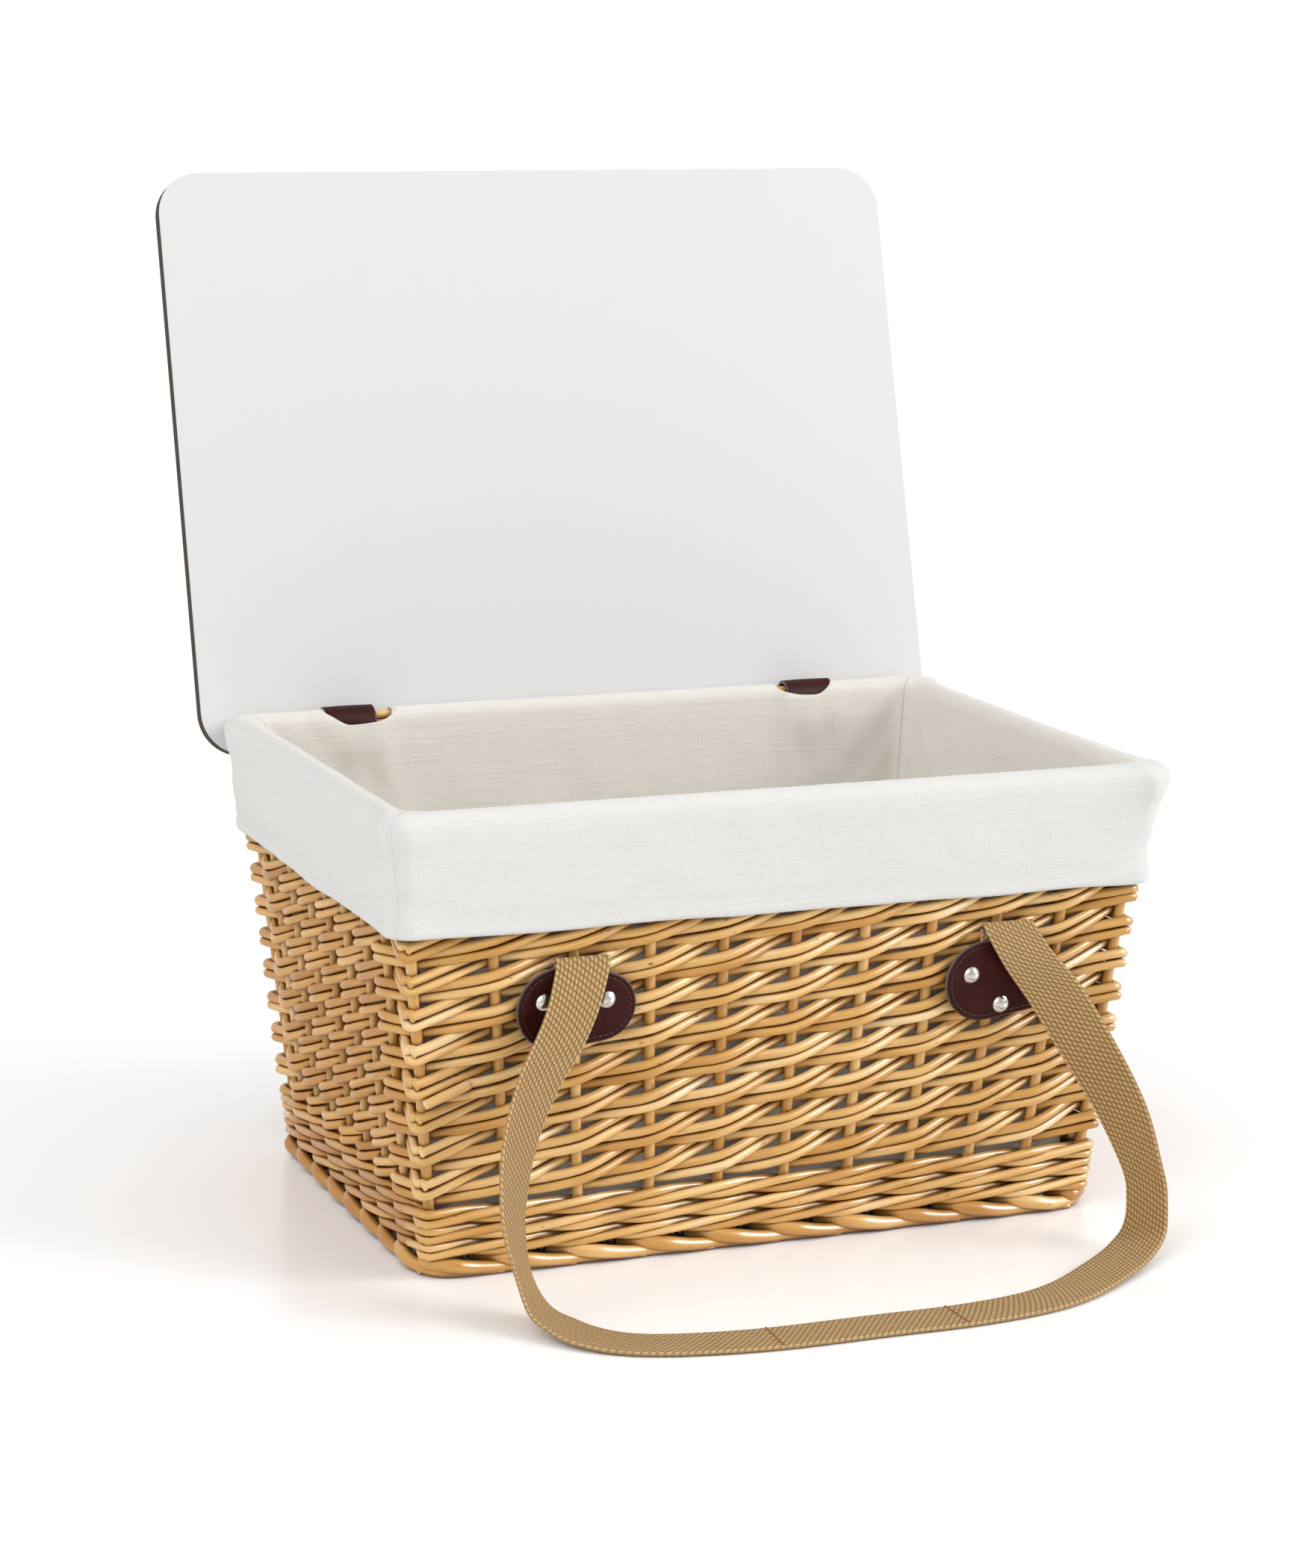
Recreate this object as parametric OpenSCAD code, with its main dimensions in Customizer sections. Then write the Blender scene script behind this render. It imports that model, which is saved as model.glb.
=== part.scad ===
// Wicker picnic basket: leaning woven walls, a cloth liner turned over the rim,
// a flat board lid on two leather loops, and two webbing carrying handles.
// Millimetres, +Z up. The origin is on the floor under the middle of the basket;
// X runs along the long walls and the front wall faces -Y.

/* [Basket] */
// Half-length of the ring of stakes where it would meet the floor
stake_half_x = 187.8; // [170:0.2:210]
// Half-width of the ring of stakes where it would meet the floor
stake_half_y = 125.6; // [112:0.2:145]
// Outward lean of all four walls, in degrees
flare = 5.5; // [4:0.25:7]
// Height of the centre line of the top border
border_z = 245.5; // [238:0.5:265]
// How far the corner stakes stand in from the wall planes
corner_inset = 2; // [1:0.25:3]
// How far the middle stakes of the long walls stand off centre
row_drift = 10; // [0:1:11]

/* [Willow] */
// Diameter of an upright stake
stake_d = 5; // [4:0.1:5.5]
// Diameter of one weaving rod
weaver_d = 4; // [3:0.1:4.2]
// Diameter of a rod in the wale above the foot
wale_d = 4.4; // [3.6:0.1:4.5]
// Diameter of a rod in the foot border
foot_d = 5; // [4:0.1:5.1]
// Diameter of a rod in the top border
border_d = 5.6; // [4.5:0.1:5.8]
// Clearance between willow rods that pass each other
willow_gap = 0.2; // [0.15:0.05:0.4]

/* [Weave] */
// Height of the lowest crossing of the wall weave
weave_z = 50.5; // [50:0.5:53]
// Rise of the weave from one crossing of a stake to the next
weave_pitch = 18.6; // [18.2:0.1:20]
// Share of that rise taken on the way to the back of the next stake
weave_slant = 0.62; // [0.5:0.02:0.64]
// Crossings of each stake, counted up the wall
weave_levels = 8; // [5:1:8]
// Height of the lowest rod of the wale
wale_z = 10.6; // [10.5:0.1:11]
// Rounds of the wale
wale_rounds = 3; // [1:1:3]
// Rows of plain weave under the cuff
upper_rows_count = 3; // [1:1:3]

/* [Base] */
// Diameter of a stick of the base
base_stick_d = 4; // [3:0.1:4.2]
// Thickness of the rods woven across the base
base_weaver_t = 2.2; // [1.6:0.1:2.4]
// Rows woven across the base
base_rows = 23; // [15:1:25]

/* [Liner] */
// Thickness of the padded cloth
cloth_t = 1.5; // [1:0.1:2]
// Depth of the cuff that hangs outside the rim
cuff_drop = 66; // [50:1:70]
// How far the hem of the cuff stands off the stakes
cuff_stand = 10.6; // [9.5:0.1:13]
// Gap between the cloth and the willow
cloth_gap = 0.4; // [0.3:0.1:0.8]

/* [Lid] */
// How far the lid reaches past the rim at each end
lid_over_side = 8; // [2:0.5:15]
// How far the closed lid reaches past the front rim
lid_over_front = 18.5; // [8:0.5:25]
// Thickness of the lid board
lid_t = 9; // [6:0.5:12]
// Radius of the lid's corners
lid_r = 25; // [10:1:40]
// Lean of the open lid behind upright, in degrees
lid_lean = 15.7; // [5:0.1:20]
// Sideways play taken up by the lid on its loops
lid_shift = -4; // [-6:0.5:6]

/* [Leather] */
// Thickness of the leather
leather_t = 2.2; // [1.6:0.1:2.4]
// Width of a hinge loop
loop_w = 22; // [16:1:24]
// Distance between the middles of the two hinge loops
loop_span = 288; // [286:1:290]
// Inner radius of a hinge loop
loop_r = 8; // [7.9:0.05:8.2]
// Large end radius of a handle patch
patch_r = 22.5; // [18:0.5:23]
// Small end radius of a handle patch
patch_small_r = 19; // [15:0.5:21]
// Length of a handle patch
patch_l = 65.6; // [58:0.2:70]

/* [Handles] */
// Width of the webbing
webbing_w = 30; // [25:1:32]
// Thickness of the webbing
webbing_t = 2; // [1.5:0.1:2.2]
// Place along the wall of the left and right handle patch
patch_x = [-116.5, 127];
// Height of the middle of the left and right patch
patch_z = [146, 141];
// Turn of the left and right patch
patch_turn = [-1.5, 0];
// Place along the wall of the left and right end of the webbing
fold_x = [-114, 129];
// Height of the line over which the webbing folds
fold_z = 170.6; // [170:0.2:173]
// Diameter of a rivet cap
rivet_cap_d = 9.5; // [8:0.5:10]
// Places of the three rivets of a patch, along the wall
rivet_x = [-18, 16.5, 0.5];
// Places of the three rivets of a patch, up the wall
rivet_y = [4, 3.5, -14];

/* [Hidden] */
$fn = 32;

// Stakes on a long wall and on an end wall, with both corner stakes counted
front_count = 11;
side_count = 9;
last_k = front_count - 1;
last_j = side_count - 1;
WILLOW = "burlywood";
WILLOW_DARK = "peru";
CLOTH = "ivory";
LEATHER = [0.29, 0.11, 0.09];
WEBBING = [0.69, 0.55, 0.32];
NICKEL = "silver";

// The leaning walls
function lean(z) = z * tan(flare);
function half_x(z) = stake_half_x + lean(z);
function half_y(z) = stake_half_y + lean(z);
function front_x(k, z) =
    (2 * k / last_k - 1) * (half_x(z) - corner_inset) + row_drift * sin(180 * k / last_k);
function side_y(j, z) = (2 * j / last_j - 1) * (half_y(z) - corner_inset);
// A station is a point and the outward direction of the wall there
function front_at(k, off, z, shift = 0) = [[front_x(k, z) + shift, -(half_y(z) + off), z], [0, -1]];
function right_at(j, off, z, shift = 0) = [[half_x(z) + off, side_y(j, z) + shift, z], [1, 0]];
function left_at(j, off, z, shift = 0) = [[-(half_x(z) + off), side_y(j, z) + shift, z], [-1, 0]];
// The four corner stakes in order: front left, front right, rear right, rear left
corner_signs = [[-1, -1], [1, -1], [1, 1], [-1, 1]];
function corner_xy(c, z) =
    [corner_signs[c][0] * (half_x(z) - corner_inset), corner_signs[c][1] * (half_y(z) - corner_inset)];
function polar(r, a) = [r * cos(a), r * sin(a)];
function raised(p, z) = [p[0], p[1], z];
// The two stations of a strand that runs round the outside of corner c
function round_corner(c, reach, z) = [
    for (a = [-22.5, 22.5])
        let (dir = polar(1, 225 + 90 * c + a))
        [raised(corner_xy(c, z) + reach * 1.22 * dir, z), dir]
];
// The station of a strand that runs inside corner c, moved along one of its walls
function inside_corner(c, reach, z, along = [0, 0]) = [
    raised(corner_xy(c, z) - reach * 0.75 * corner_signs[c] + along, z),
    corner_signs[c] / norm(corner_signs[c])
];

// A strand is a row of rings that share a cross-section
function ring(st, section) = [
    for (q = section)
        st[0] + q[0] * [st[1][0], st[1][1], 0] + q[1] * [st[1][0] * tan(flare), st[1][1] * tan(flare), 1]
];
function strand(stations, section) = [for (st = stations) ring(st, section)];
function running_total(counts) =
    [for (i = 0, total = 0; i < len(counts); total = total + counts[i], i = i + 1) total];
module strands(list) {
    m = len(list[0][0]);
    first = running_total([for (s = list) len(s)]);
    faces = [
        for (i = [0:len(list) - 1])
            let (o = first[i] * m, n = len(list[i]))
            each concat(
                [[for (j = [m - 1:-1:0]) o + j]],
                [[for (j = [0:m - 1]) o + (n - 1) * m + j]],
                [
                    for (r = [0:n - 2], j = [0:m - 1])
                        let (a = o + r * m + j, b = o + r * m + (j + 1) % m)
                        each [[a, b, b + m], [a, b + m, a + m]]
                ]
            )
    ];
    polyhedron(points = [for (s = list, r = s, p = r) p], faces = faces, convexity = 10);
}
module rod_between(p, q, d) {
    v = q - p;
    translate(p) rotate([0, acos(v[2] / norm(v)), atan2(v[1], v[0])]) cylinder(d = d, h = norm(v));
}

// Cross-sections: two rods side by side with the groove outward, and one rod
function doubled(r) = [[-r, 0], [-0.5 * r, -2 * r], [r, -r], [0.4 * r, 0], [r, r], [-0.5 * r, 2 * r]];
function diamond(r, h) = [[-r, 0], [0, -h], [r, 0], [0, h]];
// How far a strand's middle stands off a stake's middle where it passes it
function pass_reach(d) = (stake_d + d) / 2 + willow_gap;
function pass_off(d) = pass_reach(d) / cos(atan(2 * pass_reach(d) * last_j / (2 * stake_half_y)));
weaver_off = pass_off(weaver_d);
weaver_reach = pass_reach(weaver_d);
// Where the parts of one strand meet end to end behind a stake
butt_gap = 0.4;

// Base
base_z = 7.2;
base_half_x = stake_half_x + lean(base_z) - 8;
base_half_y = stake_half_y + lean(base_z) - 8;
base_stick_count = 5;
base_stick_pitch = 2 * base_half_y / base_stick_count;
function base_stick_y(j) = (j - (base_stick_count - 1) / 2) * base_stick_pitch;
module base_sticks() {
    color(WILLOW)
        for (j = [0:base_stick_count - 1])
            translate([-base_half_x, base_stick_y(j), base_z])
                rotate([0, 90, 0]) cylinder(d = base_stick_d, h = 2 * base_half_x);
}
module base_weave() {
    step_x = 2 * base_half_x / base_rows;
    off = (base_stick_d + base_weaver_t) / 2 + willow_gap + 0.1;
    t = base_weaver_t / 2;
    w = step_x / 2 - willow_gap;
    color(WILLOW_DARK) strands([
        for (i = [0:base_rows - 1])
            let (x = -base_half_x + (i + 0.5) * step_x)
            [
                for (j = [-1:base_stick_count])
                    let (
                        held = j >= 0 && j < base_stick_count,
                        y = held ? base_stick_y(j) : sign(j) * base_half_y,
                        z = base_z + (held ? ((i + j) % 2 == 0 ? off : -off) : 0)
                    )
                    [[x - w, y, z - t], [x - w, y, z + t], [x + w, y, z + t], [x + w, y, z - t]]
            ]
    ]);
}

// Foot border: each rod comes out between two stakes and runs down along the wall to a thin tip
foot_top_z = 2.1 * foot_d;
all_count = 2 * last_k + 2 * last_j;
// Stake number i, counted round the basket from the front left corner
wall_first = [0, last_k, last_k + last_j, 2 * last_k + last_j];
function stake_wall(i) = i < wall_first[1] ? 0 : i < wall_first[2] ? 1 : i < wall_first[3] ? 2 : 3;
wall_out = [[0, -1], [1, 0], [0, 1], [-1, 0]];
function stake_xy(i, z) =
    let (w = stake_wall(i), k = i - wall_first[w], s = w < 2 ? 1 : -1)
    k == 0 ? corner_xy(w, z) :
    w % 2 == 0 ? s * [front_x(k, z), -half_y(z)] : s * [half_x(z), side_y(k, z)];
function along_wall(s, off, z) =
    let (
        i = floor(s + all_count) % all_count,
        f = s - floor(s),
        p = stake_xy(i, z) * (1 - f) + stake_xy((i + 1) % all_count, z) * f
    )
    raised(p + off * wall_out[stake_wall(i)], z);
foot_steps = [
    // distance along the wall in stake spacings, stand-off, height, share of the full rod
    [-0.45, -0.8, 1.55, 0.9],
    [0, 1, 1.54, 1],
    [0.5, 0.95, 1.15, 1],
    [1, 0.85, 0.55, 0.9],
    [1.9, 1.3, 0.15, 0.2]
];
module foot_border(wall) {
    r = foot_d / 2;
    first = wall_first[wall];
    count = wall % 2 == 0 ? last_k : last_j;
    color(WILLOW) strands([
        for (i = [first:first + count - 1]) [
            for (q = foot_steps)
                let (
                    n = wall_out[stake_wall(floor(i + q[0] + all_count) % all_count)],
                    p = along_wall(i + q[0], q[1] * foot_d, q[2] * foot_d)
                )
                [for (a = [0:72:288]) p + q[3] * r * [n[0] * cos(a), n[1] * cos(a), sin(a)]]
        ]
    ]);
}

// Stakes
stake_top_z = border_z - border_d - 0.8;
function stake_at(i, z) = raised(stake_xy(i, z), z);
module stake(i) {
    rod_between(stake_at(i, foot_top_z), stake_at(i, stake_top_z), stake_d);
}
module wall_stakes(wall) {
    count = wall % 2 == 0 ? front_count : side_count;
    color(WILLOW) for (k = [1:count - 2]) stake(wall_first[wall] + k);
}
module corner_stakes() {
    color(WILLOW) for (w = [0:3]) stake(wall_first[w]);
}

// Wale: three rods a round, each over two stakes and behind the third. A rod's phase is 0 and 1 as it
// climbs over the two stakes, and 2 behind the third.
wale_off = pass_off(wale_d);
wale_reach = pass_reach(wale_d);
wale_step = wale_d + 0.2;
wale_round_rise = 2 * wale_step;
function wale_height(round, phase) =
    wale_z + wale_d / 2 + round * wale_round_rise + [0, wale_step, wale_step / 2][phase];
function wale_phase(i, s) = (i - s + all_count) % 3;
// Stand-off and height half-way from a stake passed in this phase to the next stake
function wale_between(round, phase) =
    phase == 0 ? [wale_off, wale_height(round, 2)] : [0, wale_height(round, phase == 1 ? 1 : 0)];
function wale_stations(long, round, s) =
    let (
        i = long ? 0 : wall_first[1],
        last = long ? last_k : last_j - 1,
        before = wale_between(round, wale_phase(i + (long ? -1 : 0), s)),
        after = wale_between(round, wale_phase(i + last, s))
    )
    concat(
        [
            long ? left_at(0.5, before[0], before[1], -butt_gap / 2) :
            right_at(0.5, before[0], before[1], butt_gap / 2)
        ],
        [
            for (k = [long ? 0 : 1:last])
                let (
                    phase = wale_phase(i + k, s),
                    z = wale_height(round, phase),
                    off = phase == 2 ? -wale_off : wale_off,
                    mid = wale_between(round, phase)
                )
                each concat(
                    !long ? [right_at(k, off, z)] :
                    k > 0 && k < last_k ? [front_at(k, off, z)] :
                    phase == 2 ? [inside_corner(k == 0 ? 0 : 1, wale_reach, z)] :
                    round_corner(k == 0 ? 0 : 1, wale_reach, z),
                    phase == 0 || k == last ? [] :
                    long ? [front_at(k + 0.5, mid[0], mid[1])] :
                    [right_at(k + 0.5, mid[0], mid[1])]
                )
        ],
        [right_at(long ? 0.5 : last_j - 0.5, after[0], after[1], -butt_gap / 2)]
    );
module wale(wall) {
    color(WILLOW_DARK)
        rotate([0, 0, wall >= 2 ? 180 : 0])
            strands([
                for (round = [0:wale_rounds - 1], s = [0:2])
                    strand(wale_stations(wall % 2 == 0, round, s), diamond(wale_d / 2, wale_d / 2))
            ]);
}

// Wall weave: doubled rods in one-rod randing. Each strand passes in front of one stake and behind the
// next, and climbs one crossing for every two stakes. The crossings of the end walls lie half a rise
// above those of the long walls, so a strand gains half a rise less where it turns a corner.
corner_loss = 0.5;
top_level = weave_levels - 1;
function level_z(t) = weave_z + weave_pitch * t;
// Crossings climbed over a number of stakes; an even number ends in front of a stake
function climbed(stakes) = stakes % 2 == 0 ? stakes / 2 : (stakes - 1) / 2 + weave_slant;
// odd is 0 for a strand that passes in front of the wall's first corner stake, and so belongs to the
// corner there; an odd strand ends behind both corner stakes
function weave_stations(long, start, odd) =
    let (last = long ? last_k : last_j)
    [
        for (k = [1 - odd:last - 1 + odd])
            let (
                loss = long || k == 0 ? 0 : k == last ? -2 * corner_loss : -corner_loss,
                t = start + climbed(k + odd) + loss,
                z = level_z(t),
                behind = (k + odd) % 2 != 0,
                off = behind ? -weaver_off : weaver_off,
                cut = !behind ? 0 : k == 1 ? butt_gap / 2 : k == last - 1 ? -butt_gap / 2 : 0,
                corner = (long ? 0 : 1) + (k == 0 ? 0 : 1),
                inward = (k == 0 ? 1 : -1) * butt_gap
            )
            if (t > (long ? -0.5 : 0) && t < top_level + 0.8)
                k == 0 || k == last ?
                    inside_corner(corner, weaver_reach, z, long ? [inward, 0] : [0, inward]) :
                long ? front_at(k, off, z, cut) :
                right_at(k, off, z, cut)
    ];
module wall_weave(wall) {
    color(WILLOW)
        rotate([0, 0, wall >= 2 ? 180 : 0])
            strands([
                for (odd = [0, 1], start = [-front_count:top_level + 1])
                    let (stations = weave_stations(wall % 2 == 0, start, odd))
                    if (len(stations) > 1) strand(stations, doubled(weaver_d / 2))
            ]);
}
// The strands that turn corner c, from behind the stake before it to behind the stake after it
module corner_weave(c) {
    first = c % 2 == 0;
    color(WILLOW)
        rotate([0, 0, c >= 2 ? 180 : 0])
            strands([
                for (t = [0:top_level])
                    let (
                    end_z = level_z(t + weave_slant - corner_loss),
                    start_z = level_z(t + weave_slant - 1)
                )
                    strand(
                        first ?
                            concat(
                                [left_at(1, -weaver_off, end_z, -butt_gap / 2)],
                                round_corner(0, weaver_reach, level_z(t)),
                                [front_at(1, -weaver_off, level_z(t + weave_slant), -butt_gap / 2)]
                            ) :
                            concat(
                                [front_at(last_k - 1, -weaver_off, start_z, butt_gap / 2)],
                                round_corner(1, weaver_reach, level_z(t)),
                                [right_at(1, -weaver_off, end_z, -butt_gap / 2)]
                            ),
                        doubled(weaver_d / 2)
                    )
            ]);
}

// Rows of plain weave that the cuff covers
upper_z = level_z(top_level + 0.8) + 3 * weaver_d / 2;
upper_reach = 1.05 * weaver_reach;
module upper_rows() {
    section = diamond(weaver_d / 2, weaver_d);
    pitch = 2 * weaver_d + 1.4;
    module half() {
        strands([
            for (row = [0:upper_rows_count - 1])
                let (z = upper_z + row * pitch, odd = row % 2)
                each [
                    strand([
                        for (k = [0:last_k])
                            let (out = (k + odd) % 2 == 0)
                            k > 0 && k < last_k ? front_at(k, out ? weaver_off : -weaver_off, z) :
                            out ? [raised(corner_xy(k == 0 ? 0 : 1, z) + [0, -upper_reach], z), [0, -1]] :
                            inside_corner(k == 0 ? 0 : 1, weaver_reach, z)
                    ], section),
                    strand([
                        for (j = [0:side_count - 1])
                            let (out = (j + odd) % 2 == 1)
                            j > 0 && j < side_count - 1 ? right_at(j, out ? weaver_off : -weaver_off, z) :
                            out ? [raised(corner_xy(j == 0 ? 1 : 2, z) + [upper_reach, 0], z), [1, 0]] :
                            inside_corner(j == 0 ? 1 : 2, weaver_reach, z)
                    ], section)
                ]
        ]);
    }
    color(WILLOW_DARK) {
        half();
        rotate([0, 0, 180]) half();
    }
}

// Top border: a bundle of three rods, each bent round one corner at its end
bundle_ring = (border_d / 2 + willow_gap / 2) / cos(30);
bundle_r = bundle_ring + border_d / 2;
border_corner_r = 7;
module top_border() {
    module rod(a, long, wide) {
        out = bundle_ring * cos(a);
        rise = bundle_ring * sin(a);
        r = border_corner_r + out;
        run = 2 * (long + out - r);
        translate([-run / 2 + willow_gap, -(wide + out), border_z + rise]) {
            rotate([0, 90, 0]) cylinder(d = border_d, h = run - willow_gap);
            translate([run - willow_gap, r, 0]) rotate([0, 0, -90])
                rotate_extrude(angle = 90) translate([r, 0]) circle(d = border_d);
        }
    }
    half = [half_x(border_z), half_y(border_z)];
    color(WILLOW)
        for (a = [90, 210, 330], w = [0:3])
            rotate([0, 0, 90 * w]) rod(a, half[w % 2], half[(w + 1) % 2]);
}

// Liner: five panels. Each wall panel lines the wall, turns over the rim and hangs outside as the cuff.
sheet_out = -(max(weaver_off + weaver_d / 2, wale_off + wale_d / 2) + cloth_gap);
sheet_in = sheet_out - cloth_t;
rim_in_r = bundle_r + cloth_gap;
rim_out_r = rim_in_r + cloth_t;
liner_z = base_z + base_stick_d / 2 + base_weaver_t + willow_gap + cloth_gap + 0.2;
hem_z = border_z + rim_out_r - cuff_drop;
turn_z = border_z - 1.5 * rim_in_r;
seam_gap = 0.15;
// Outward distance from the foot of the stakes, and height
function liner_profile() = concat(
    [[lean(liner_z) + sheet_in, liner_z], [lean(turn_z) + sheet_in, turn_z]],
    [for (a = [180:-30:0]) [lean(border_z), border_z] + polar(rim_out_r, a)],
    [[lean(hem_z) + cuff_stand, hem_z], [lean(hem_z) + cuff_stand - cloth_t, hem_z]],
    [for (a = [0:30:180]) [lean(border_z), border_z] + polar(rim_in_r, a)],
    [[lean(turn_z) + sheet_out, turn_z], [lean(liner_z) + sheet_out, liner_z]]
);
// A wall of the liner, mitred at both corners
module liner_panel(long, wide) {
    out = lean(border_z) + 3 * rim_out_r;
    intersection() {
        translate([-long - out, 0, 0]) rotate([90, 0, 90])
            linear_extrude(2 * (long + out)) polygon([for (q = liner_profile()) [-wide - q[0], q[1]]]);
        linear_extrude(border_z + 3 * rim_out_r) polygon([
            for (p = [[-1, -out], [1, -out], [1, out], [-1, out]])
                [p[0] * (long + p[1] - seam_gap), -wide - p[1]]
        ]);
    }
}
module liner_long_panel() {
    color(CLOTH) liner_panel(stake_half_x, stake_half_y);
}
module liner_end_panel() {
    color(CLOTH) rotate([0, 0, 90]) liner_panel(stake_half_y, stake_half_x);
}
module liner_bottom() {
    half = [stake_half_x, stake_half_y] + (lean(liner_z) + sheet_in - 0.3) * [1, 1];
    color(CLOTH) translate([-half[0], -half[1], liner_z]) cube([2 * half[0], 2 * half[1], cloth_t]);
}
// Openings in the rear panel through which the hinge loops reach the border: beside the loop on its
// closed and open side, and down the inside and the outside of the wall
notch_margin = 2;
notch_open = 16;
notch_in = 9;
notch_out = 21.5;
notch_reach = 3 * rim_out_r;
function notch_x(side) =
    lid_shift + (side * loop_span - loop_w) / 2 - (side > 0 ? notch_open : notch_margin);
module liner_rear() {
    wall = half_y(border_z);
    color(CLOTH) difference() {
        rotate([0, 0, 180]) liner_long_panel();
        for (side = [-1, 1])
            translate([notch_x(side), 0, 0])
                rotate([90, 0, 90]) linear_extrude(loop_w + notch_margin + notch_open) polygon([
                    [wall - notch_reach, border_z - notch_in],
                    [wall, border_z - notch_in],
                    [wall, border_z - notch_out],
                    [wall + notch_reach, border_z - notch_out],
                    [wall + notch_reach, border_z + notch_reach],
                    [wall - notch_reach, border_z + notch_reach]
                ]);
    }
}

// Lid, drawn flat in its own frame: x along the basket, u up the board from its hinge edge,
// w from the hinge line through the board
loop_out_r = loop_r + leather_t;
lid_face = loop_out_r + 0.3;
lid_axis_y = half_y(border_z) + 1.3;
lid_axis_z = border_z - 0.8;
lid_below = 13.7;
lid_w = 2 * (half_x(border_z) + rim_out_r + lid_over_side);
lid_l = lid_below + lid_axis_y + half_y(border_z) + rim_out_r + lid_over_front;
board_gap = 0.2;
hinge_rivet_u = 4;
hinge_rivet_x = 6;
hinge_rivet_d = 4;
module in_lid_frame() {
    translate([lid_shift, lid_axis_y, lid_axis_z]) rotate([-lid_lean, 0, 0]) children();
}
// Places children, drawn with z through the board, at x and u
module through_board(x, u) {
    translate([x, 0, u]) rotate([-90, 0, 0]) children();
}
module rounded_plate(w, l, r, t) {
    linear_extrude(t) difference() {
        square([w, l]);
        for (x = [0, 1], y = [0, 1])
            translate([x * w, y * l]) difference() {
                square(2 * r, center = true);
                translate([x == 0 ? r : -r, y == 0 ? r : -r]) circle(r);
            }
    }
}
module lid_board() {
    color("whitesmoke") in_lid_frame() difference() {
        translate([-lid_w / 2, lid_face, -lid_below]) translate([0, lid_t, 0]) rotate([90, 0, 0])
            rounded_plate(lid_w, lid_l, lid_r, lid_t);
        for (side = [-1, 1], x = [-1, 1])
            through_board(side * loop_span / 2 + x * hinge_rivet_x, hinge_rivet_u)
                cylinder(d = hinge_rivet_d + 0.2, h = lid_face + lid_t + 5);
    }
}
module hinge_loop(side) {
    outer_w = lid_face + lid_t + board_gap;
    under_u = -lid_below - board_gap;
    color(LEATHER) in_lid_frame() translate([side * loop_span / 2 - loop_w / 2, 0, 0]) difference() {
        rotate([90, 0, 90]) {
            cylinder(r = loop_out_r, h = loop_w);
            linear_extrude(loop_w) polygon([
                [0, -loop_r + 0.5],
                [lid_face - 0.6, under_u],
                [outer_w, under_u],
                [outer_w, 24],
                [outer_w + leather_t, 24],
                [outer_w + leather_t, under_u - leather_t],
                [lid_face - 1.5, under_u - leather_t],
                [0, -loop_out_r]
            ]);
        }
        rotate([90, 0, 90]) translate([0, 0, -1]) cylinder(r = loop_r, h = loop_w + 2);
        for (x = [-1, 1])
            translate([loop_w / 2, 0, 0]) through_board(x * hinge_rivet_x, hinge_rivet_u)
                translate([0, 0, lid_face]) cylinder(d = hinge_rivet_d + 0.2, h = 2 * lid_t + 5);
    }
}
module rivet(shank_d, shank_l, cap_d) {
    translate([0, 0, -shank_l]) cylinder(d = shank_d, h = shank_l + 0.5);
    intersection() {
        cylinder(d = cap_d, h = cap_d);
        dome_r = cap_d * 0.62;
        translate([0, 0, cap_d * 0.28 - dome_r]) sphere(dome_r, $fn = 32);
    }
}
module hinge_rivets() {
    top_w = lid_face + lid_t + board_gap + leather_t + 0.1;
    color(NICKEL) in_lid_frame()
        for (side = [-1, 1], x = [-1, 1])
            through_board(side * loop_span / 2 + x * hinge_rivet_x, hinge_rivet_u)
                translate([0, 0, top_w]) rivet(hinge_rivet_d, top_w - lid_face, 8);
}

// Handle patches. The wall frame has x along the wall, y up the wall and z outward.
tab_out = weaver_off + weaver_d / 2 + 0.3;
patch_out = tab_out + webbing_t + 0.2;
rivet_shank_d = 3;
rivet_hole_d = 3.4;
module in_wall_frame(x, z) {
    translate([x, -half_y(z), z]) rotate([90 + flare, 0, 0]) children();
}
module in_patch_frame(i) {
    in_wall_frame(patch_x[i], patch_z[i]) rotate([0, 0, patch_turn[i]]) children();
}
module patch_blank() {
    big = [-patch_l / 2 + patch_r, 0];
    small = [patch_l / 2 - patch_small_r, 0];
    a = acos((patch_r - patch_small_r) / (small[0] - big[0]));
    translate(big) cylinder(r = patch_r, h = leather_t);
    translate(small) cylinder(r = patch_small_r, h = leather_t);
    linear_extrude(leather_t) polygon([
        big + polar(patch_r, a), small + polar(patch_small_r, a),
        small + polar(patch_small_r, -a), big + polar(patch_r, -a)
    ]);
}
module patch(i) {
    color(LEATHER) in_patch_frame(i) translate([0, 0, patch_out]) difference() {
        patch_blank();
        for (r = [0:2])
            translate([rivet_x[r], rivet_y[r], -1]) cylinder(d = rivet_hole_d, h = leather_t + 2);
    }
}
// The lowest rivet of each patch also goes through the webbing behind it
module patch_rivets() {
    color(NICKEL)
        for (i = [0, 1], r = [0:2])
            in_patch_frame(i) translate([rivet_x[r], rivet_y[r], patch_out + leather_t + 0.05])
                rivet(rivet_shank_d, leather_t + (r == 2 ? webbing_t + 0.2 : 0), rivet_cap_d);
}
// The webbing behind each patch, up to the fold
fold_out = (tab_out + patch_out + leather_t + 0.3 + webbing_t) / 2;
module webbing_ends() {
    tab_low = 45;
    color(WEBBING)
        for (i = [0, 1])
            difference() {
                in_wall_frame(fold_x[i], fold_z)
                    translate([-webbing_w / 2, -tab_low, tab_out])
                        cube([webbing_w, tab_low - webbing_t - 0.5, webbing_t]);
                in_patch_frame(i) translate([rivet_x[2], rivet_y[2], tab_out - 1])
                    cylinder(d = rivet_hole_d, h = webbing_t + 2);
            }
}

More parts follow.
